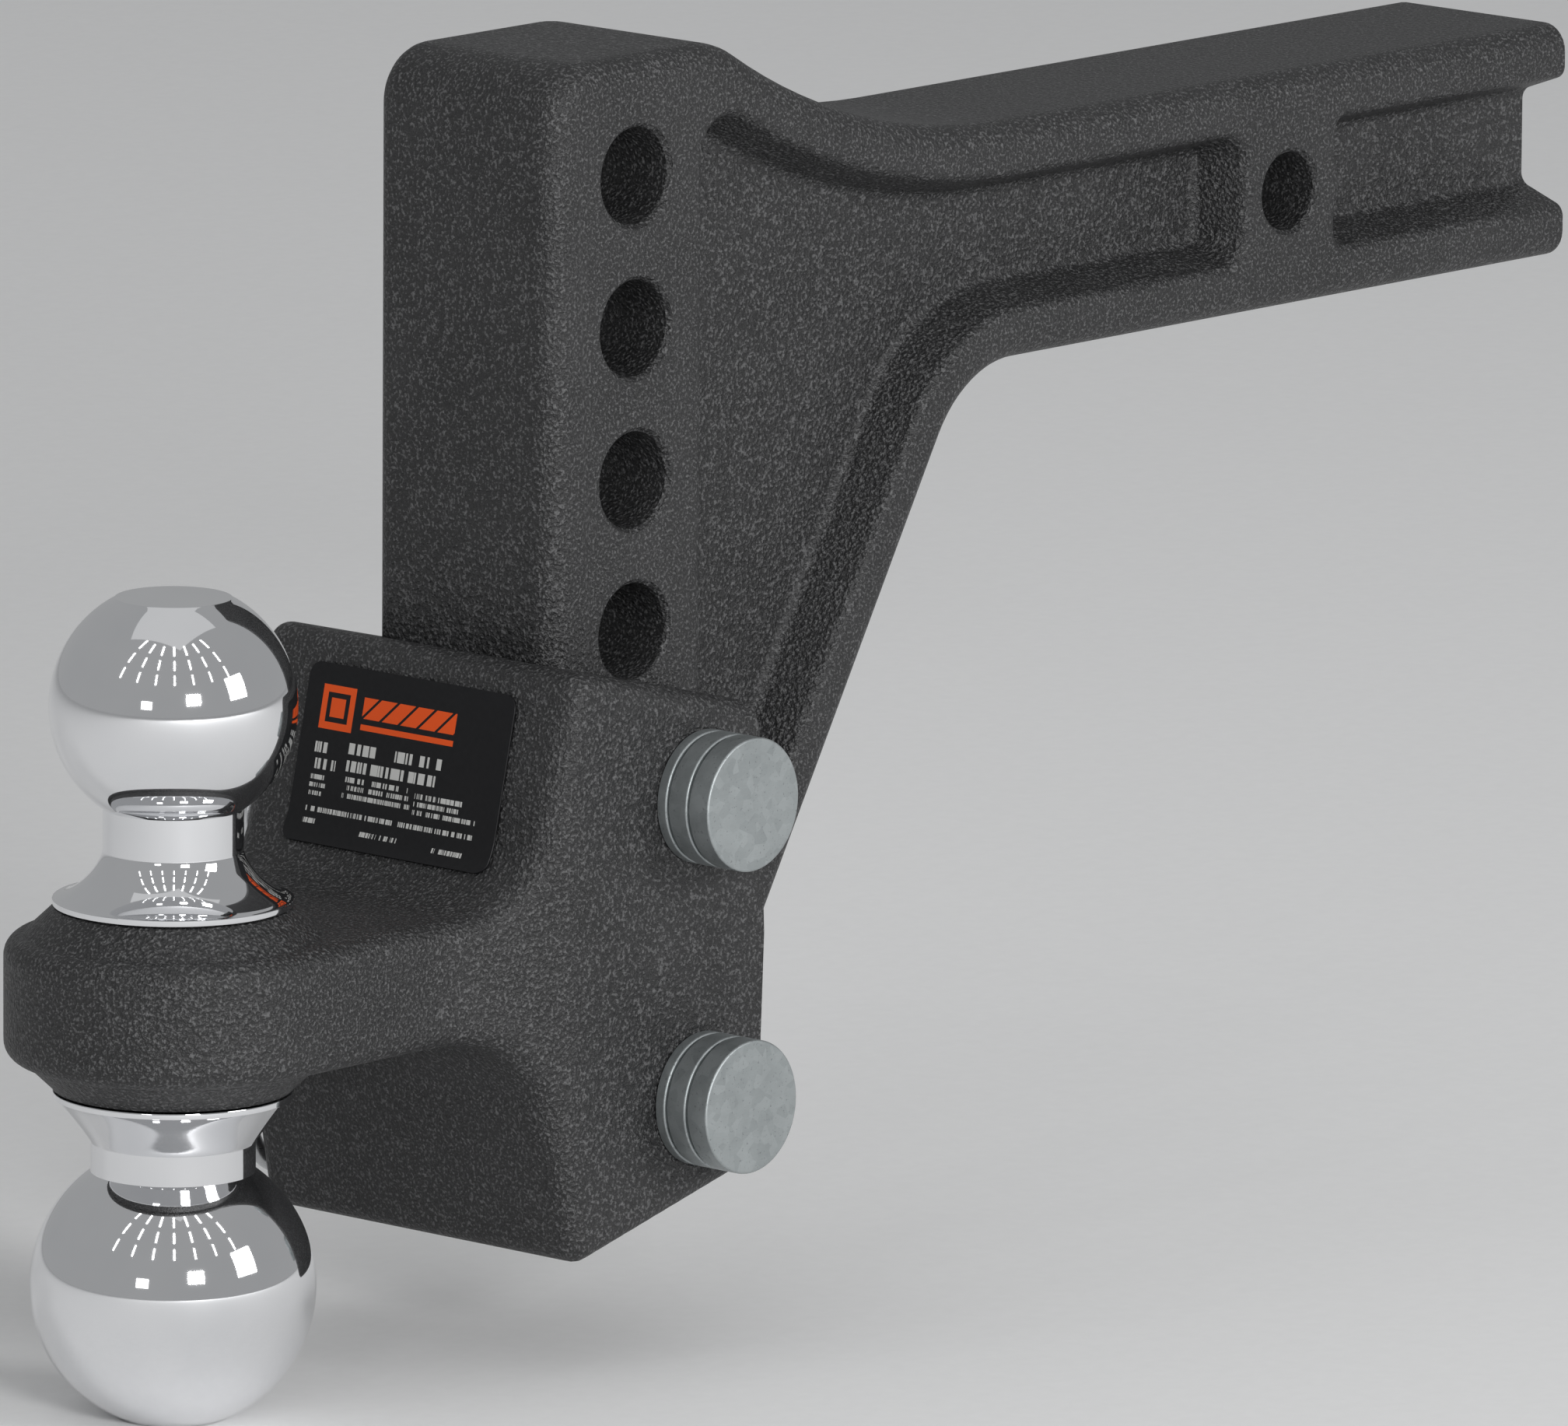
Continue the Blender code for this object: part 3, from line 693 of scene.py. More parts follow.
def powder_coat(name, dark, light):
    """Black baked powder: fine pebbles over a faint cloudiness, with light specks painted in as
    glints.
    """
    finish = Finish(name, 0.55, 0.0, 0.42)
    place = finish.place()
    cloud = finish.noise(place, 38.0, 3.0)
    pebble = finish.cells(place, 900.0)
    grit = finish.noise(place, 1500.0, 1.0, 0.6)
    height = 0.5 * (1.0 - pebble) + 0.7 * grit
    # Painted glints: light grey specks put into the colour where the grit noise is high.
    painted_glint_specks = finish.ramp(grit, (0.52, 0.0), (0.70, 1.0))
    # The tone mixes the coat's own cloudiness with the painted glint specks.
    tone = (0.20 * cloud + 0.85 * painted_glint_specks).at_most(1.0)
    finish.set("Base Color", finish.mix(tone, dark, light))
    finish.set("Roughness", 0.40 + 0.10 * cloud + 0.10 * grit)
    finish.relief(height, 0.0007, 1.0)
    return finish.material


def chrome(name):
    """Bright plate over a polished turned surface, with a breath of haze."""
    finish = Finish(name, 0.03, 1.0)
    place = finish.place()
    haze = finish.noise(place, 60.0, 3.0)
    polish = finish.noise(finish.stretch(place, (30.0, 30.0, 900.0)), 1.0, 2.0)
    finish.set("Base Color", finish.mix(haze, (0.80, 0.81, 0.83), (0.90, 0.90, 0.91)))
    finish.set("Roughness", 0.018 + 0.03 * haze + 0.012 * polish)
    finish.relief(polish, 0.000002, 0.4)
    return finish.material


def zinc(name, dark, light, pits):
    """Dull zinc plate: crystals, small dark pits and drawn streaks along Y."""
    finish = Finish(name, 0.45, 0.85)
    place = finish.place()
    crystals = finish.node("ShaderNodeTexVoronoi", {}, {"Vector": place, "Scale": 420.0}, "Color")
    crystal = finish.node("ShaderNodeSeparateColor", {}, {"Color": crystals})
    blotch = finish.noise(place, 150.0, 4.0, 0.6)
    speck = finish.noise(place, 1500.0, 1.0)
    pit = finish.ramp(speck, (0.26, 1.0), (0.36, 0.0))
    scratch = finish.noise(finish.stretch(place, (500.0, 500.0, 3200.0)), 1.0, 3.0, 0.7)
    tone = 0.35 * crystal + 0.55 * blotch + 0.25 * scratch
    plate = finish.mix(tone, dark, light)
    finish.set("Base Color", finish.mix(pit * pits, plate, (0.16, 0.17, 0.17)))
    finish.set("Roughness", 0.36 + 0.22 * blotch + 0.1 * pit)
    finish.relief(0.6 * blotch + 0.4 * scratch - 0.5 * pit, 0.00006, 0.6)
    return finish.material


def spring_wire(name):
    """Bright drawn wire with fine lines along it."""
    finish = Finish(name, 0.25, 1.0)
    place = finish.place()
    lines = finish.noise(finish.stretch(place, (60.0, 2600.0, 2600.0)), 1.0, 2.0)
    cloud = finish.noise(place, 180.0, 3.0)
    finish.set("Base Color", finish.mix(cloud, (0.52, 0.53, 0.54), (0.74, 0.74, 0.75)))
    finish.set("Roughness", 0.18 + 0.16 * lines + 0.08 * cloud)
    finish.relief(lines, 0.00003, 0.4)
    return finish.material


def inside(value, low, high):
    """1 where a value is between two limits."""
    return (value > low) * (value < high)


def printed_block(across, down, left, top, width, height):
    """1 inside a rectangle of the label, in millimetres from its upper left corner."""
    return inside(across, left, left + width) * inside(down, top, top + height)


def rows_of_print(finish, across, down):
    """Blank print: rows broken by noise into short plain strokes, with no letters."""
    rows = (
        # left, top, width, height, stroke width
        (4.6, 16.4, 3.4, 2.2, 0.9), (14.0, 15.6, 26.5, 2.3, 1.3),
        (4.6, 19.8, 6.4, 2.2, 0.9), (14.0, 19.2, 26.5, 2.3, 1.3),
        (4.6, 23.2, 3.8, 1.0, 0.5), (14.0, 22.6, 18.0, 1.1, 0.5), (34.0, 23.4, 14.0, 1.1, 0.5),
        (4.6, 24.9, 4.4, 0.9, 0.5), (14.0, 24.3, 18.5, 1.0, 0.5), (34.0, 25.1, 12.5, 1.0, 0.5),
        (4.6, 26.6, 3.6, 0.9, 0.5), (14.0, 26.0, 19.0, 1.0, 0.5), (34.0, 26.8, 17.5, 1.0, 0.5),
        (4.6, 29.8, 47.5, 1.1, 0.55), (4.6, 32.4, 5.0, 1.1, 0.55), (21.0, 33.4, 10.5, 1.1, 0.55),
        (41.5, 34.0, 8.5, 1.1, 0.55),
    )
    ink = None
    for left, top, width, height, stroke in rows:
        spread = finish.node("ShaderNodeCombineXYZ", {}, {0: across / (0.6 * stroke), 2: top})
        groups = finish.node("ShaderNodeCombineXYZ", {}, {0: across / (4.0 * stroke), 2: top})
        strokes = ((finish.noise(spread, 1.0, 0.0) > 0.45)
                   * (finish.noise(groups, 1.0, 0.0) > 0.36))
        row = printed_block(across, down, left, top, width, height) * strokes
        ink = row if ink is None else ink.at_least(row)
    return ink


def label_film(name):
    """Black film with a generic orange mark, an orange band and rows of blank print."""
    finish = Finish(name, 0.3, 0.0, 0.22)
    parts = finish.node("ShaderNodeUVMap", {"uv_map": "UVMap"}, {})
    across = finish.node("ShaderNodeSeparateXYZ", {}, {0: parts}, 0) * (2 * LABEL_HALF_WIDTH)
    down = finish.node("ShaderNodeSeparateXYZ", {}, {0: parts}, 1) * LABEL_LENGTH
    square = printed_block(across, down, 4.6, 4.4, 9.2, 9.2)
    from_middle = abs(across - 9.2).at_least(abs(down - 9.0))
    ring = inside(from_middle, 2.0, 3.1)
    band = printed_block(across, down, 16.2, 5.8, 26.0, 4.4)
    slant = finish.node("ShaderNodeMath", {"operation": "FRACT"}, {0: (across + down) / 5.2})
    thin_band = printed_block(across, down, 16.2, 11.4, 26.0, 1.2)
    orange = (square - ring).at_least(band * (slant > 0.16)).at_least(thin_band).at_least(0.0)
    white = rows_of_print(finish, across, down)
    wear = finish.noise(finish.place(), 900.0, 3.0)
    film = finish.mix(wear, (0.006, 0.006, 0.007), (0.012, 0.012, 0.013))
    printed = finish.mix(orange, film, (0.72, 0.085, 0.012))
    finish.set("Base Color", finish.mix(white * 0.85, printed, (0.62, 0.62, 0.60)))
    finish.set("Roughness", 0.26 + 0.12 * wear + 0.1 * orange.at_least(white))
    finish.relief(wear, 0.00002, 0.3)
    return finish.material


def pale_floor():
    """Matt pale studio floor."""
    finish = Finish("studio_floor", 0.9, 0.0, 0.2)
    grain = finish.noise(finish.place(), 300.0, 2.0)
    finish.set("Base Color", finish.mix(grain, (0.86, 0.86, 0.86), (0.90, 0.90, 0.90)))
    return finish.material


# ------------------------------ shapes used twice

def hole_z(number):
    """Height of a column hole, counted from 1 at the top."""
    return COLUMN_TOP_HOLE_Z - (number - 1) * COLUMN_HOLE_PITCH


def hole_tool(name, radius, half_width, x, z):
    """A through-hole along Y with a softened chamfer at both faces."""
    over = 6.0
    half = half_width - HOLE_CHAMFER
    profile = [(0.0, -half_width - over), (radius + HOLE_CHAMFER + over, -half_width - over),
               (radius + 0.12, -half - 0.12), (radius, -half + 0.2), (radius, half - 0.2),
               (radius + 0.12, half + 0.12), (radius + HOLE_CHAMFER + over, half_width + over),
               (0.0, half_width + over)]
    return make_mesh(name, revolve(profile, BORE_SEGMENTS, "Y"), (x, 0, z))


def hole_row(name, radius, half_width, first, step, count):
    """A row of equal through-holes down the column, as one tool."""
    tool = hole_tool(name, radius, half_width, COLUMN_HOLE_X, hole_z(first))
    values = {"Count": count, "Step": (0.0, 0.0, -step * COLUMN_HOLE_PITCH * MM)}
    run_tree(tool, ROW, values)
    return tool


def recess_sections():
    """(depth, inset) of a pocket's wall: rounded rim, drafted wall, filleted floor."""
    turn = math.pi / 2 - RECESS_DRAFT
    rim_reach = RECESS_RIM_R * math.tan(turn / 2)
    floor_reach = RECESS_FLOOR_R * math.tan(turn / 2)
    floor_inset = RECESS_DEPTH * math.tan(RECESS_DRAFT) + floor_reach
    steps = 9
    start = RECESS_RIM_R * math.sin(0.1 * turn) - rim_reach
    sections = [(-2.0, start - 0.8), (0.0, start)]
    for k in range(2, steps + 1):
        angle = turn * k / steps
        sections.append((RECESS_RIM_R * (1 - math.cos(angle)),
                         RECESS_RIM_R * math.sin(angle) - rim_reach))
    for k in range(steps, -1, -1):
        angle = turn * k / steps
        sections.append((RECESS_DEPTH - RECESS_FLOOR_R * (1 - math.cos(angle)),
                         floor_inset - RECESS_FLOOR_R * math.sin(angle)))
    return sections


def recess_tool(name, corners, side):
    """A drafted pocket with rounded rims and a filleted floor, on one side face."""
    rings = []
    for depth, shift in recess_sections():
        y = side * (CASTING_HALF - depth)
        rings.append([(a, y, b) for a, b in rounded(inset(corners, shift))])
    return make_mesh(name, loft(rings))


# ------------------------------ casting

def casting_outline():
    """Side view of shank, neck, column and gusset, clockwise from the column's front."""
    half = CASTING_HALF
    over = SHANK_END_X + 20.0
    rear = COLUMN_FRONT_X + COLUMN_TOP_LENGTH
    neck_foot = rear + (COLUMN_TOP_Z - half) / math.tan(NECK_ANGLE)
    gusset_foot = GUSSET_TOP_X - (-half - COLUMN_BOTTOM_Z) / math.tan(GUSSET_ANGLE)
    return [
        (COLUMN_FRONT_X, COLUMN_TOP_Z, 12.0),
        (rear, COLUMN_TOP_Z, 25.0),
        (neck_foot, half, NECK_FOOT_R),
        (over, half, 0.0),
        (over, -half, 0.0),
        (GUSSET_TOP_X, -half, GUSSET_TOP_R),
        (gusset_foot, COLUMN_BOTTOM_Z, 8.0),
        (COLUMN_FRONT_X, COLUMN_BOTTOM_Z, 8.0),
    ]


def main_recess():
    """Pocket between the column, the neck, the shank and the gusset's flange."""
    half = CASTING_HALF
    rear = COLUMN_FRONT_X + COLUMN_TOP_LENGTH
    top = half - RECESS_WALL
    neck_drop = RECESS_WALL / math.cos(NECK_ANGLE)
    neck = COLUMN_TOP_Z - neck_drop + rear * math.tan(NECK_ANGLE)
    gusset_shift = RECESS_WALL / math.sin(GUSSET_ANGLE)

    def gusset_x(z):
        return GUSSET_TOP_X - gusset_shift + (z + half) / math.tan(GUSSET_ANGLE)

    foot = TONGUE_Z + 22.0
    return [
        (COLUMN_PAD_X, neck - COLUMN_PAD_X * math.tan(NECK_ANGLE), 8.5),
        ((neck - top) / math.tan(NECK_ANGLE), top, NECK_FOOT_R + RECESS_WALL),
        (RECESS_END_X, top, 7.0),
        (RECESS_END_X, -top, 7.0),
        (gusset_x(-top), -top, GUSSET_TOP_R + RECESS_WALL),
        (gusset_x(foot), foot, 4.5),
        (COLUMN_PAD_X, foot, 3.5),
    ]


def end_recess():
    """Open-ended pocket at the vehicle end, bowed round the receiver hole."""
    top = CASTING_HALF - RECESS_WALL
    bow = END_RECESS_X + 1.8
    over = SHANK_END_X + 30.0
    return [
        (END_RECESS_X, top, 4.0),
        (over, top, 0.0),
        (over, -top, 0.0),
        (END_RECESS_X, -top, 4.0),
        (END_RECESS_X, -top * 0.4, 4.0),
        (bow, 0.0, 6.0),
        (END_RECESS_X, top * 0.4, 4.0),
    ]


def build_casting(material):
    """Shank, neck, column and gusset as one forging."""
    outline = rounded(casting_outline())
    casting = make_mesh("forged_shank_and_column",
                        prism(outline, -CASTING_HALF, CASTING_HALF, "Y"))
    round_edges(casting, CASTING_EDGE_R, EDGE_SEGMENTS)
    end = [(SHANK_END_X, -40.0), (SHANK_END_X, 40.0), (SHANK_END_X + 60, 40.0),
           (SHANK_END_X + 60, -40.0)]
    cut(casting, make_mesh("tool_shank_end", prism(end, -40, 40, "Y")))
    for side, label in ((-1, "near"), (1, "far")):
        cut(casting, recess_tool("tool_recess_" + label, main_recess(), side))
        cut(casting, recess_tool("tool_end_recess_" + label, end_recess(), side))
    cut(casting, hole_row("tool_column_holes", COLUMN_HOLE_R, CASTING_HALF, 1, 1,
                          COLUMN_HOLE_COUNT))
    cut(casting, hole_tool("tool_receiver_hole", RECEIVER_HOLE_R, CASTING_HALF, 0, 0))
    finish_solid(casting, material)
    stand_for(casting, "shank_and_column", "mount")


# ------------------------------ carrier

def carrier_slope(x):
    """Half height of the carrier at x, where its top and bottom taper to the rear."""
    return CARRIER_HEIGHT_HALF - CARRIER_TAPER * (x - CARRIER_FRONT_X)


def mirrored(upper):
    """Complete an outline that is the same above and below the tongue."""
    lower = [(a, -b, radius) for a, b, radius in reversed(upper) if b > 0.0]
    return [(a, TONGUE_Z + b, radius) for a, b, radius in upper + lower]


def carrier_side_outline():
    """Side view of the carrier, clockwise, running on past its rear edge."""
    lean = FACE_LEAN * (CARRIER_HEIGHT_HALF - TONGUE_HALF)
    tip = BALL_X - BOSS_R - 8.0
    over = CARRIER_REAR_X + 8.0
    return mirrored([
        (tip, TONGUE_HALF, 0.0),
        (CARRIER_FRONT_X - lean, TONGUE_HALF, FACE_FILLET_R),
        (CARRIER_FRONT_X, CARRIER_HEIGHT_HALF, CARRIER_EDGE_R),
        (over, carrier_slope(over), 0.0),
    ])


def carrier_rear_outline():
    """Side view of what is left of the rear of the side plates, with round corners."""
    corner_x = CARRIER_REAR_X - CARRIER_REAR_DRAFT
    corner_z = carrier_slope(corner_x) + 0.3
    reach = 190.0
    return mirrored([
        (corner_x - reach, corner_z + 0.35 * reach, 0.0),
        (corner_x, corner_z, CARRIER_REAR_CORNER_R),
        (CARRIER_REAR_X, 0.0, 0.0),
    ])


def carrier_plan_outline():
    """Plan view of the carrier: round boss, tongue, flare and side plates."""
    one_side = [
        (BALL_X - BOSS_R, BOSS_R, BOSS_R),
        (BALL_X + 45.0, BOSS_R, 50.0),
        (CARRIER_FRONT_X - 1.0, CARRIER_HALF, 22.0),
        (CARRIER_REAR_X + 35.0, CARRIER_HALF, 0.0),
    ]
    return one_side + [(a, -b, radius) for a, b, radius in reversed(one_side)]


def collar_profile():
    """Both conical collars as one turned body through the tongue."""
    edge = 0.6
    upper = [(COLLAR_BASE_R + 0.6, TONGUE_HALF - 0.4), (COLLAR_TOP_R + 0.1, COLLAR_HALF - edge),
             (COLLAR_TOP_R - 0.1, COLLAR_HALF - 0.25), (COLLAR_TOP_R - 0.35, COLLAR_HALF - 0.07),
             (COLLAR_TOP_R - edge, COLLAR_HALF), (0.0, COLLAR_HALF)]
    return [(radius, -height) for radius, height in reversed(upper)] + upper


def build_carrier(material):
    """Channel bracket with a forward tongue and a conical collar above and below."""
    side = rounded(carrier_side_outline())
    plan = rounded(carrier_plan_outline())

    def body(x, y, z):
        return rounded_crossing(outline_distance(side, *np.broadcast_arrays(x, z)),
                                outline_distance(plan, *np.broadcast_arrays(x, y)),
                                CARRIER_EDGE_R)

    low = (BALL_X - BOSS_R, -CARRIER_HALF, TONGUE_Z - CARRIER_HEIGHT_HALF)
    high = (CARRIER_REAR_X + 8.0, CARRIER_HALF, TONGUE_Z + CARRIER_HEIGHT_HALF)
    carrier = make_mesh("cast_ball_carrier", net_mesh(body, low, high, NET_STEP))
    rear = rounded(carrier_rear_outline())
    cut(carrier, make_mesh("tool_carrier_rear", prism(rear, -70, 70, "Y")), "INTERSECT")
    middle = (BALL_X, 0, TONGUE_Z)
    cut(carrier, make_mesh("tool_collars", revolve(collar_profile()), middle), "UNION")
    bore = [(0.0, -40.0), (TONGUE_BORE_R, -40.0), (TONGUE_BORE_R, 40.0), (0.0, 40.0)]
    cut(carrier, make_mesh("tool_tongue_bore", revolve(bore, BORE_SEGMENTS), middle))
    inner = CASTING_HALF + CHANNEL_GAP
    front = COLUMN_FRONT_X - CHANNEL_GAP
    channel = rounded([(front, inner, 4.8), (COLUMN_PAD_X + 60, inner, 0.0),
                       (COLUMN_PAD_X + 60, -inner, 0.0), (front, -inner, 4.8)])
    cut(carrier, make_mesh("tool_channel", prism(channel, TONGUE_Z - 90, TONGUE_Z + 90, "Z")))
    cut(carrier, hole_row("tool_carrier_holes", COLUMN_HOLE_R, CARRIER_HALF,
                          UPPER_PIN_HOLE, 2, 2))
    finish_solid(carrier, material)
    stand_for(carrier, "ball_carrier", "mount")


# ------------------------------ balls

def flange_profile(neck_radius, seat, neck_start, power):
    """Flange rim and the flare up to the neck; heights grow away from the seat."""
    rim = seat + FLANGE_EDGE
    points = [(FLANGE_R - 0.3, seat), (FLANGE_R - 0.08, seat + 0.08), (FLANGE_R, seat + 0.3),
              (FLANGE_R, rim - 0.1), (FLANGE_R - 0.1, rim)]
    steps = 28
    for k in range(1, steps + 1):
        t = math.radians(90 * k / steps)
        points.append((FLANGE_R - 0.3 - (FLANGE_R - 0.3 - neck_radius) * math.sin(t) ** power,
                       rim + (neck_start - FLANGE_EDGE) * (1 - math.cos(t) ** power)))
    return points


def ball_profile(radius, neck_radius, flat_angle):
    """The ball from its neck to the flat on its top, with a small round at the flat."""
    start = -math.degrees(math.acos(neck_radius / radius))
    points = arc(0.0, 0.0, radius, start, flat_angle, 64)
    edge = radius * math.cos(math.radians(flat_angle))
    flat = radius * math.sin(math.radians(flat_angle)) + 0.3
    points += [(edge - 0.18, flat - 0.12), (edge - 0.32, flat - 0.04), (edge - 0.5, flat)]
    points += [(0.62 * edge, flat), (0.3 * edge, flat), (0.0, flat)]
    return points


def build_upper_ball(material):
    """2 in ball with its neck, flange and the stud that goes through the tongue."""
    seat = -(BALL_OFFSET - COLLAR_HALF - SEAT_GAP)
    shoulder = seat - 2 * COLLAR_HALF - SEAT_GAP
    profile = [(0.0, seat - STUD_LENGTH), (STUD_THREAD_R - 1.2, seat - STUD_LENGTH),
               (STUD_THREAD_R, seat - STUD_LENGTH + 1.2), (STUD_THREAD_R, shoulder - 0.5),
               (STUD_R, shoulder), (STUD_R, seat)]
    profile += flange_profile(UPPER_NECK_R, seat, UPPER_NECK_START, UPPER_FLARE_POWER)
    profile += ball_profile(UPPER_BALL_R, UPPER_NECK_R, UPPER_FLAT_ANGLE)
    ball = make_mesh("upper_tow_ball", revolve(profile), (BALL_X, 0, TONGUE_Z + BALL_OFFSET))
    finish_solid(ball, material)
    stand_for(ball, "upper_ball", "mount")


def build_lower_ball(material):
    """2-5/16 in ball, bored blind from its flange to take the upper ball's stud."""
    seat = -(BALL_OFFSET - COLLAR_HALF - SEAT_GAP)
    profile = [(0.0, seat + LOWER_BORE_DEPTH), (LOWER_BORE_R, seat + LOWER_BORE_DEPTH - 3.0),
               (LOWER_BORE_R, seat + 0.8), (LOWER_BORE_R + 0.8, seat)]
    profile += flange_profile(LOWER_NECK_R, seat, LOWER_NECK_START, LOWER_FLARE_POWER)
    profile += ball_profile(LOWER_BALL_R, LOWER_NECK_R, LOWER_FLAT_ANGLE)
    turned_over = [(radius, -height) for radius, height in profile]
    ball = make_mesh("lower_tow_ball", revolve(turned_over),
                     (BALL_X, 0, TONGUE_Z - BALL_OFFSET))
    finish_solid(ball, material)
    stand_for(ball, "lower_ball", "mount")


# ------------------------------ pins and clips

def pin_profile():
    """Ribbed head with rounded rims, shaft and chamfered tip, from the head's face."""
    seat = -CARRIER_HALF - PIN_SEAT_GAP
    y = seat - sum(PIN_HEAD_RIBS) - PIN_GROOVE_WIDTH * (len(PIN_HEAD_RIBS) - 1)
    rim = PIN_RIM_R
    groove = PIN_HEAD_R - PIN_GROOVE_DEPTH
    profile = [(0.0, y), (0.5 * PIN_HEAD_R, y)]
    for index, rib in enumerate(PIN_HEAD_RIBS):
        profile += arc(PIN_HEAD_R - rim, y + rim, rim, -90, 0, 5)
        y += rib
        profile += arc(PIN_HEAD_R - 0.2, y - 0.2, 0.2, 0, 90, 3)
        if index < len(PIN_HEAD_RIBS) - 1:
            profile += [(groove + 0.15, y + 0.05), (groove, y + 0.2)]
            y += PIN_GROOVE_WIDTH
            profile += [(groove, y - 0.1), (groove + 0.1, y)]
    profile += [(PIN_R + 0.3, seat), (PIN_R, seat + 0.3), (PIN_R, PIN_TIP_Y - 2.0)]
    profile += [(PIN_R - 0.15, PIN_TIP_Y - 1.6), (PIN_R - 1.6, PIN_TIP_Y - 0.15),
                (PIN_R - 2.0, PIN_TIP_Y), (0.0, PIN_TIP_Y)]
    return profile


def build_pin(node, material):
    """Headed pin through carrier and column, cross-drilled for its clip."""
    place = PIN_PLACES[node]
    pin = make_mesh("turned_" + node, revolve(pin_profile(), BORE_SEGMENTS, "Y"), place)
    drill = [(0.0, -20.0), (CLIP_HOLE_R, -20.0), (CLIP_HOLE_R, 20.0), (0.0, 20.0)]
    cut(pin, make_mesh("tool_drill_" + node, revolve(drill, 40, "X"),
                       (place.x, CLIP_Y, place.z)))
    finish_solid(pin, material)
    stand_for(pin, node, node)


def clip_route():
    """Centre line of a hairpin clip about its pin: leg, loop, waist, hump and tip."""
    d = 2 * CLIP_LOOP_R
    far = -25.7 - CLIP_LOOP_R
    hump = PIN_R + CLIP_WIRE_R + 1.5
    corners = [(26.0, 0.0, 0.0), (far, 0.0, CLIP_LOOP_R), (far, -d, CLIP_LOOP_R - 0.05),
               (-17.6, -d, CLIP_LOOP_R - 0.05), (-11.5, -8.0, 5.0), (0.0, -hump, 11.5),
               (11.5, -8.0, 5.0), (21.0, -13.0, 0.0)]
    return rounded(corners, math.radians(6), closed=False)


def clip_line(name, place):
    """The route as a chain of edges, with thinner stretches for the rounded tips."""
    route = [Vector((a, 0.0, b)) for a, b in clip_route()]
    tips = []
    for end, inner in ((route[0], route[1]), (route[-1], route[-2])):
        inwards = (inner - end).normalized()
        tip = []
        for k in range(6):
            angle = math.radians(12 + 78 * k / 5)
            back = CLIP_WIRE_R * 0.6 * (1 - math.sin(angle))
            tip.append((end - inwards * (CLIP_WIRE_R * 0.4 - back),
                        math.cos(math.pi / 2 - angle)))
        tips.append(tip)
    chain = [(end, scale) for end, scale in tips[0]]
    chain += [(point, 1.0) for point in route[1:-1]]
    chain += [(end, scale) for end, scale in reversed(tips[1])]
    line = bmesh.new()
    points = [line.verts.new(point) for point, _ in chain]
    for one, two in zip(points, points[1:]):
        line.edges.new((one, two))
    line.transform(Matrix.Scale(MM, 4) @ Matrix.Translation(place))
    mesh = bpy.data.meshes.new(name)
    line.to_mesh(mesh)
    line.free()
    thickness = mesh.attributes.new("thickness", "FLOAT", "POINT")
    thickness.data.foreach_set("value", [scale for _, scale in chain])
    return linked(name, mesh)


def build_clip(node, pin, material):
    """Round wire swept along the clip's route."""
    place = PIN_PLACES[pin]
    clip = clip_line("hairpin_" + node, (place.x, CLIP_Y, place.z))
    run_tree(clip, WIRE, {"Wire Radius": CLIP_WIRE_R * MM, "Sides": 24, "Material": material})
    stand_for(clip, node, node)


# ------------------------------ label

def face_point(distance):
    """Point and outward normal on the carrier's front face, measured down from its top."""
    lean = math.atan(FACE_LEAN)
    slope_length = (CARRIER_HEIGHT_HALF - TONGUE_HALF) / math.cos(lean)
    straight = slope_length - FACE_FILLET_R * math.tan((math.pi / 2 - lean) / 2)
    along = min(distance, straight)
    x = CARRIER_FRONT_X - along * math.sin(lean)
    z = TONGUE_Z + CARRIER_HEIGHT_HALF - along * math.cos(lean)
    normal = math.pi - lean
    bend = max(0.0, distance - straight) / FACE_FILLET_R
    centre_x = x + FACE_FILLET_R * math.cos(normal)
    centre_z = z + FACE_FILLET_R * math.sin(normal)
    turned = normal - bend
    return (centre_x - FACE_FILLET_R * math.cos(turned),
            centre_z - FACE_FILLET_R * math.sin(turned), math.cos(turned), math.sin(turned))


def label_rows():
    """Distances down the label, close together at its rounded corners."""
    steps = 8
    corner = [LABEL_CORNER_R * (1 - math.cos(math.radians(90 * k / steps)))
              for k in range(steps + 1)]
    between = LABEL_LENGTH - 2 * LABEL_CORNER_R
    middle = [LABEL_CORNER_R + between * k / 24 for k in range(1, 24)]
    return corner + middle + [LABEL_LENGTH - value for value in reversed(corner)]


def build_label(material):
    """Thin sticker that follows the front face down into its fillet."""
    columns = 12
    edge = 0.08
    mesh = bmesh.new()
    layer = mesh.loops.layers.uv.new("UVMap")
    where = {}
    rings = []
    for row in label_rows():
        inward = max(0.0, LABEL_CORNER_R - min(row, LABEL_LENGTH - row))
        half = LABEL_HALF_WIDTH - LABEL_CORNER_R + math.sqrt(LABEL_CORNER_R ** 2 - inward ** 2)
        x, z, nx, nz = face_point(LABEL_TOP + row)
        top = LABEL_GAP + LABEL_THICKNESS
        stations = [(LABEL_GAP, -half), (LABEL_GAP, half), (top - edge, half)]
        stations += [(top, (half - edge) * (1 - 2 * k / columns)) for k in range(columns + 1)]
        stations.append((top - edge, -half))
        ring = []
        for lift, y in stations:
            vertex = mesh.verts.new((x + lift * nx, y, z + lift * nz))
            where[vertex] = ((LABEL_HALF_WIDTH - y) / (2 * LABEL_HALF_WIDTH), row / LABEL_LENGTH)
            ring.append(vertex)
        rings.append(ring)
    size = len(rings[0])
    for upper, lower in zip(rings, rings[1:]):
        for k in range(size):
            n = (k + 1) % size
            mesh.faces.new((upper[k], upper[n], lower[n], lower[k]))
    mesh.faces.new(rings[0][::-1])
    mesh.faces.new(rings[-1])
    for face in mesh.faces:
        for loop in face.loops:
            loop[layer].uv = where[loop.vert]
    label = make_mesh("printed_rating_label", mesh)
    finish_solid(label, material)
    stand_for(label, "rating_label", "mount")


# ------------------------------ studio

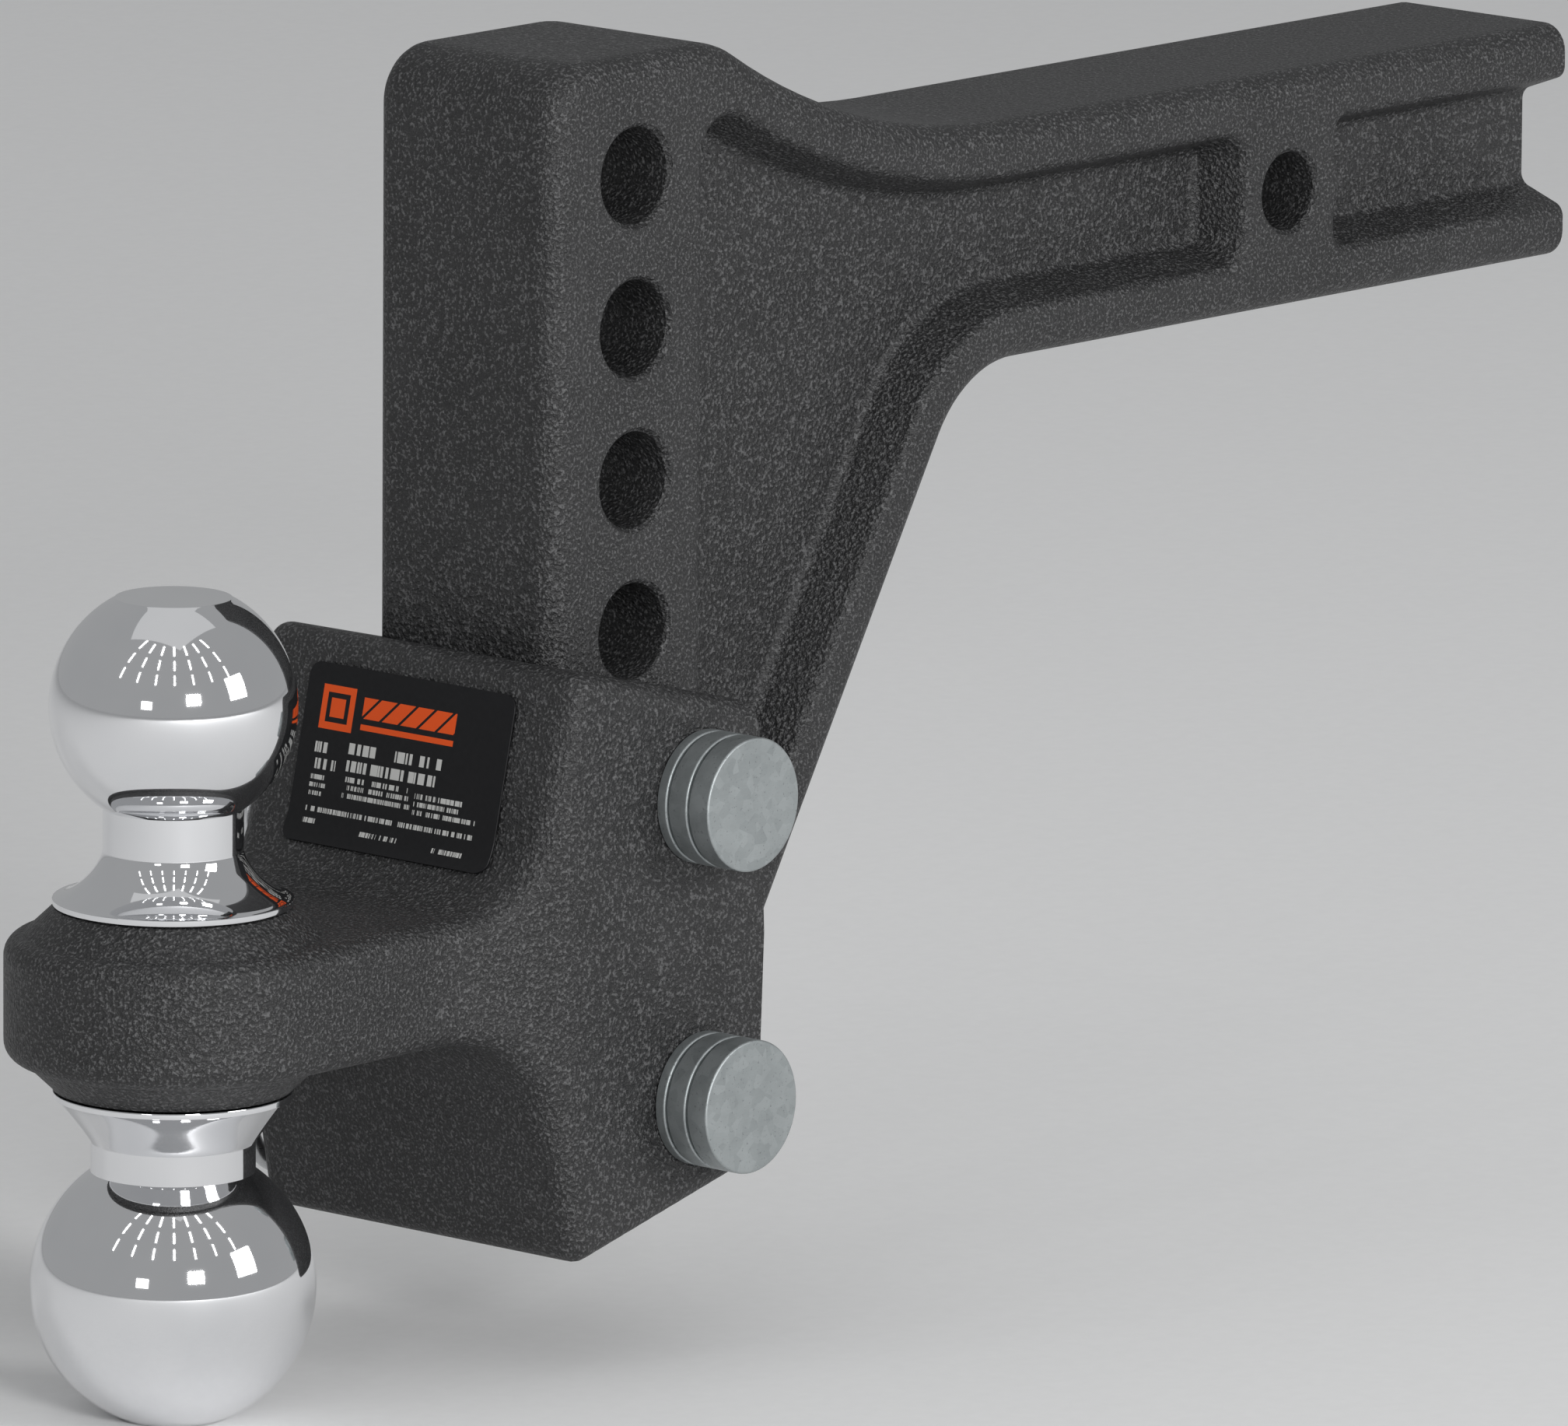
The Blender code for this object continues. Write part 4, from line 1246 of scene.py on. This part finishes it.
def build_floor():
    """A wide pale floor just under the object."""
    mesh = bmesh.new()
    bmesh.ops.create_grid(mesh, x_segments=1, y_segments=1, size=2 * FLOOR_HALF)
    floor = make_mesh("studio_floor", mesh, (0, 0, cad_low.z / MM - FLOOR_DROP))
    floor.data.materials.append(pale_floor())


def soft_light(name, place, aim, size, power):
    """A rectangular soft box that faces a point."""
    light = bpy.data.lights.new(name, "AREA")
    light.shape = "RECTANGLE"
    light.size, light.size_y = size
    light.energy = power
    obj = linked(name, light)
    obj.location = place
    obj.rotation_euler = (Vector(aim) - Vector(place)).to_track_quat("-Z", "Y").to_euler()


def build_studio():
    """Even pale surroundings, soft boxes and a fan of ceiling strips."""
    world = bpy.data.worlds.new("studio")
    world.use_nodes = True
    background = world.node_tree.nodes["Background"]
    background.inputs["Color"].default_value = WORLD_COLOUR
    background.inputs["Strength"].default_value = WORLD_STRENGTH
    bpy.context.scene.world = world
    for name, place, size, power in SOFT_BOXES:
        soft_light(name, place, LIGHT_AIM, size, power)
    for spoke in range(7):
        heading = math.radians(165 + 20 * spoke)
        for ring in range(3):
            height = math.radians(34 + 14 * ring)
            away = Vector((math.cos(heading) * math.cos(height),
                           math.sin(heading) * math.cos(height), math.sin(height)))
            soft_light("strip_%d_%d" % (spoke, ring), STRIP_MIDDLE + STRIP_DISTANCE * away,
                       STRIP_MIDDLE, STRIP_SIZE, STRIP_POWER)


def build_camera():
    """Long lens, from the ball side and a little above."""
    across = math.cos(CAMERA_ELEVATION)
    forward = Vector((math.sin(CAMERA_AZIMUTH) * across, math.cos(CAMERA_AZIMUTH) * across,
                      -math.sin(CAMERA_ELEVATION)))
    camera = bpy.data.cameras.new("camera")
    camera.lens = CAMERA_LENS
    camera.sensor_width = 36.0
    camera.clip_start, camera.clip_end = 0.1, 200.0
    obj = linked("camera", camera)
    obj.location = CAMERA_AIM - forward * CAMERA_DISTANCE
    roll = Matrix.Rotation(CAMERA_ROLL, 3, "Z")
    obj.rotation_euler = (forward.to_track_quat("-Z", "Y").to_matrix() @ roll).to_euler()
    bpy.context.scene.camera = obj
    bpy.context.scene.view_settings.view_transform = "Standard"


# ------------------------------ assembly

ROW = row_tree()
WIRE = wire_tree()

build_camera()
build_casting(powder_coat("casting_powder_coat", *COAT_AND_GLINT_COLOURS))
build_carrier(powder_coat("carrier_powder_coat", *COAT_AND_GLINT_COLOURS))
build_upper_ball(chrome("upper_ball_chrome"))
build_lower_ball(chrome("lower_ball_chrome"))
build_label(label_film("label_film_and_print"))
for side in ("upper", "lower"):
    build_pin(side + "_pin", zinc(side + "_pin_zinc_plate", *ZINC_COLOURS, ZINC_PITS))
    build_clip(side + "_clip", side + "_pin", spring_wire(side + "_clip_wire_plate"))
build_floor()
build_studio()
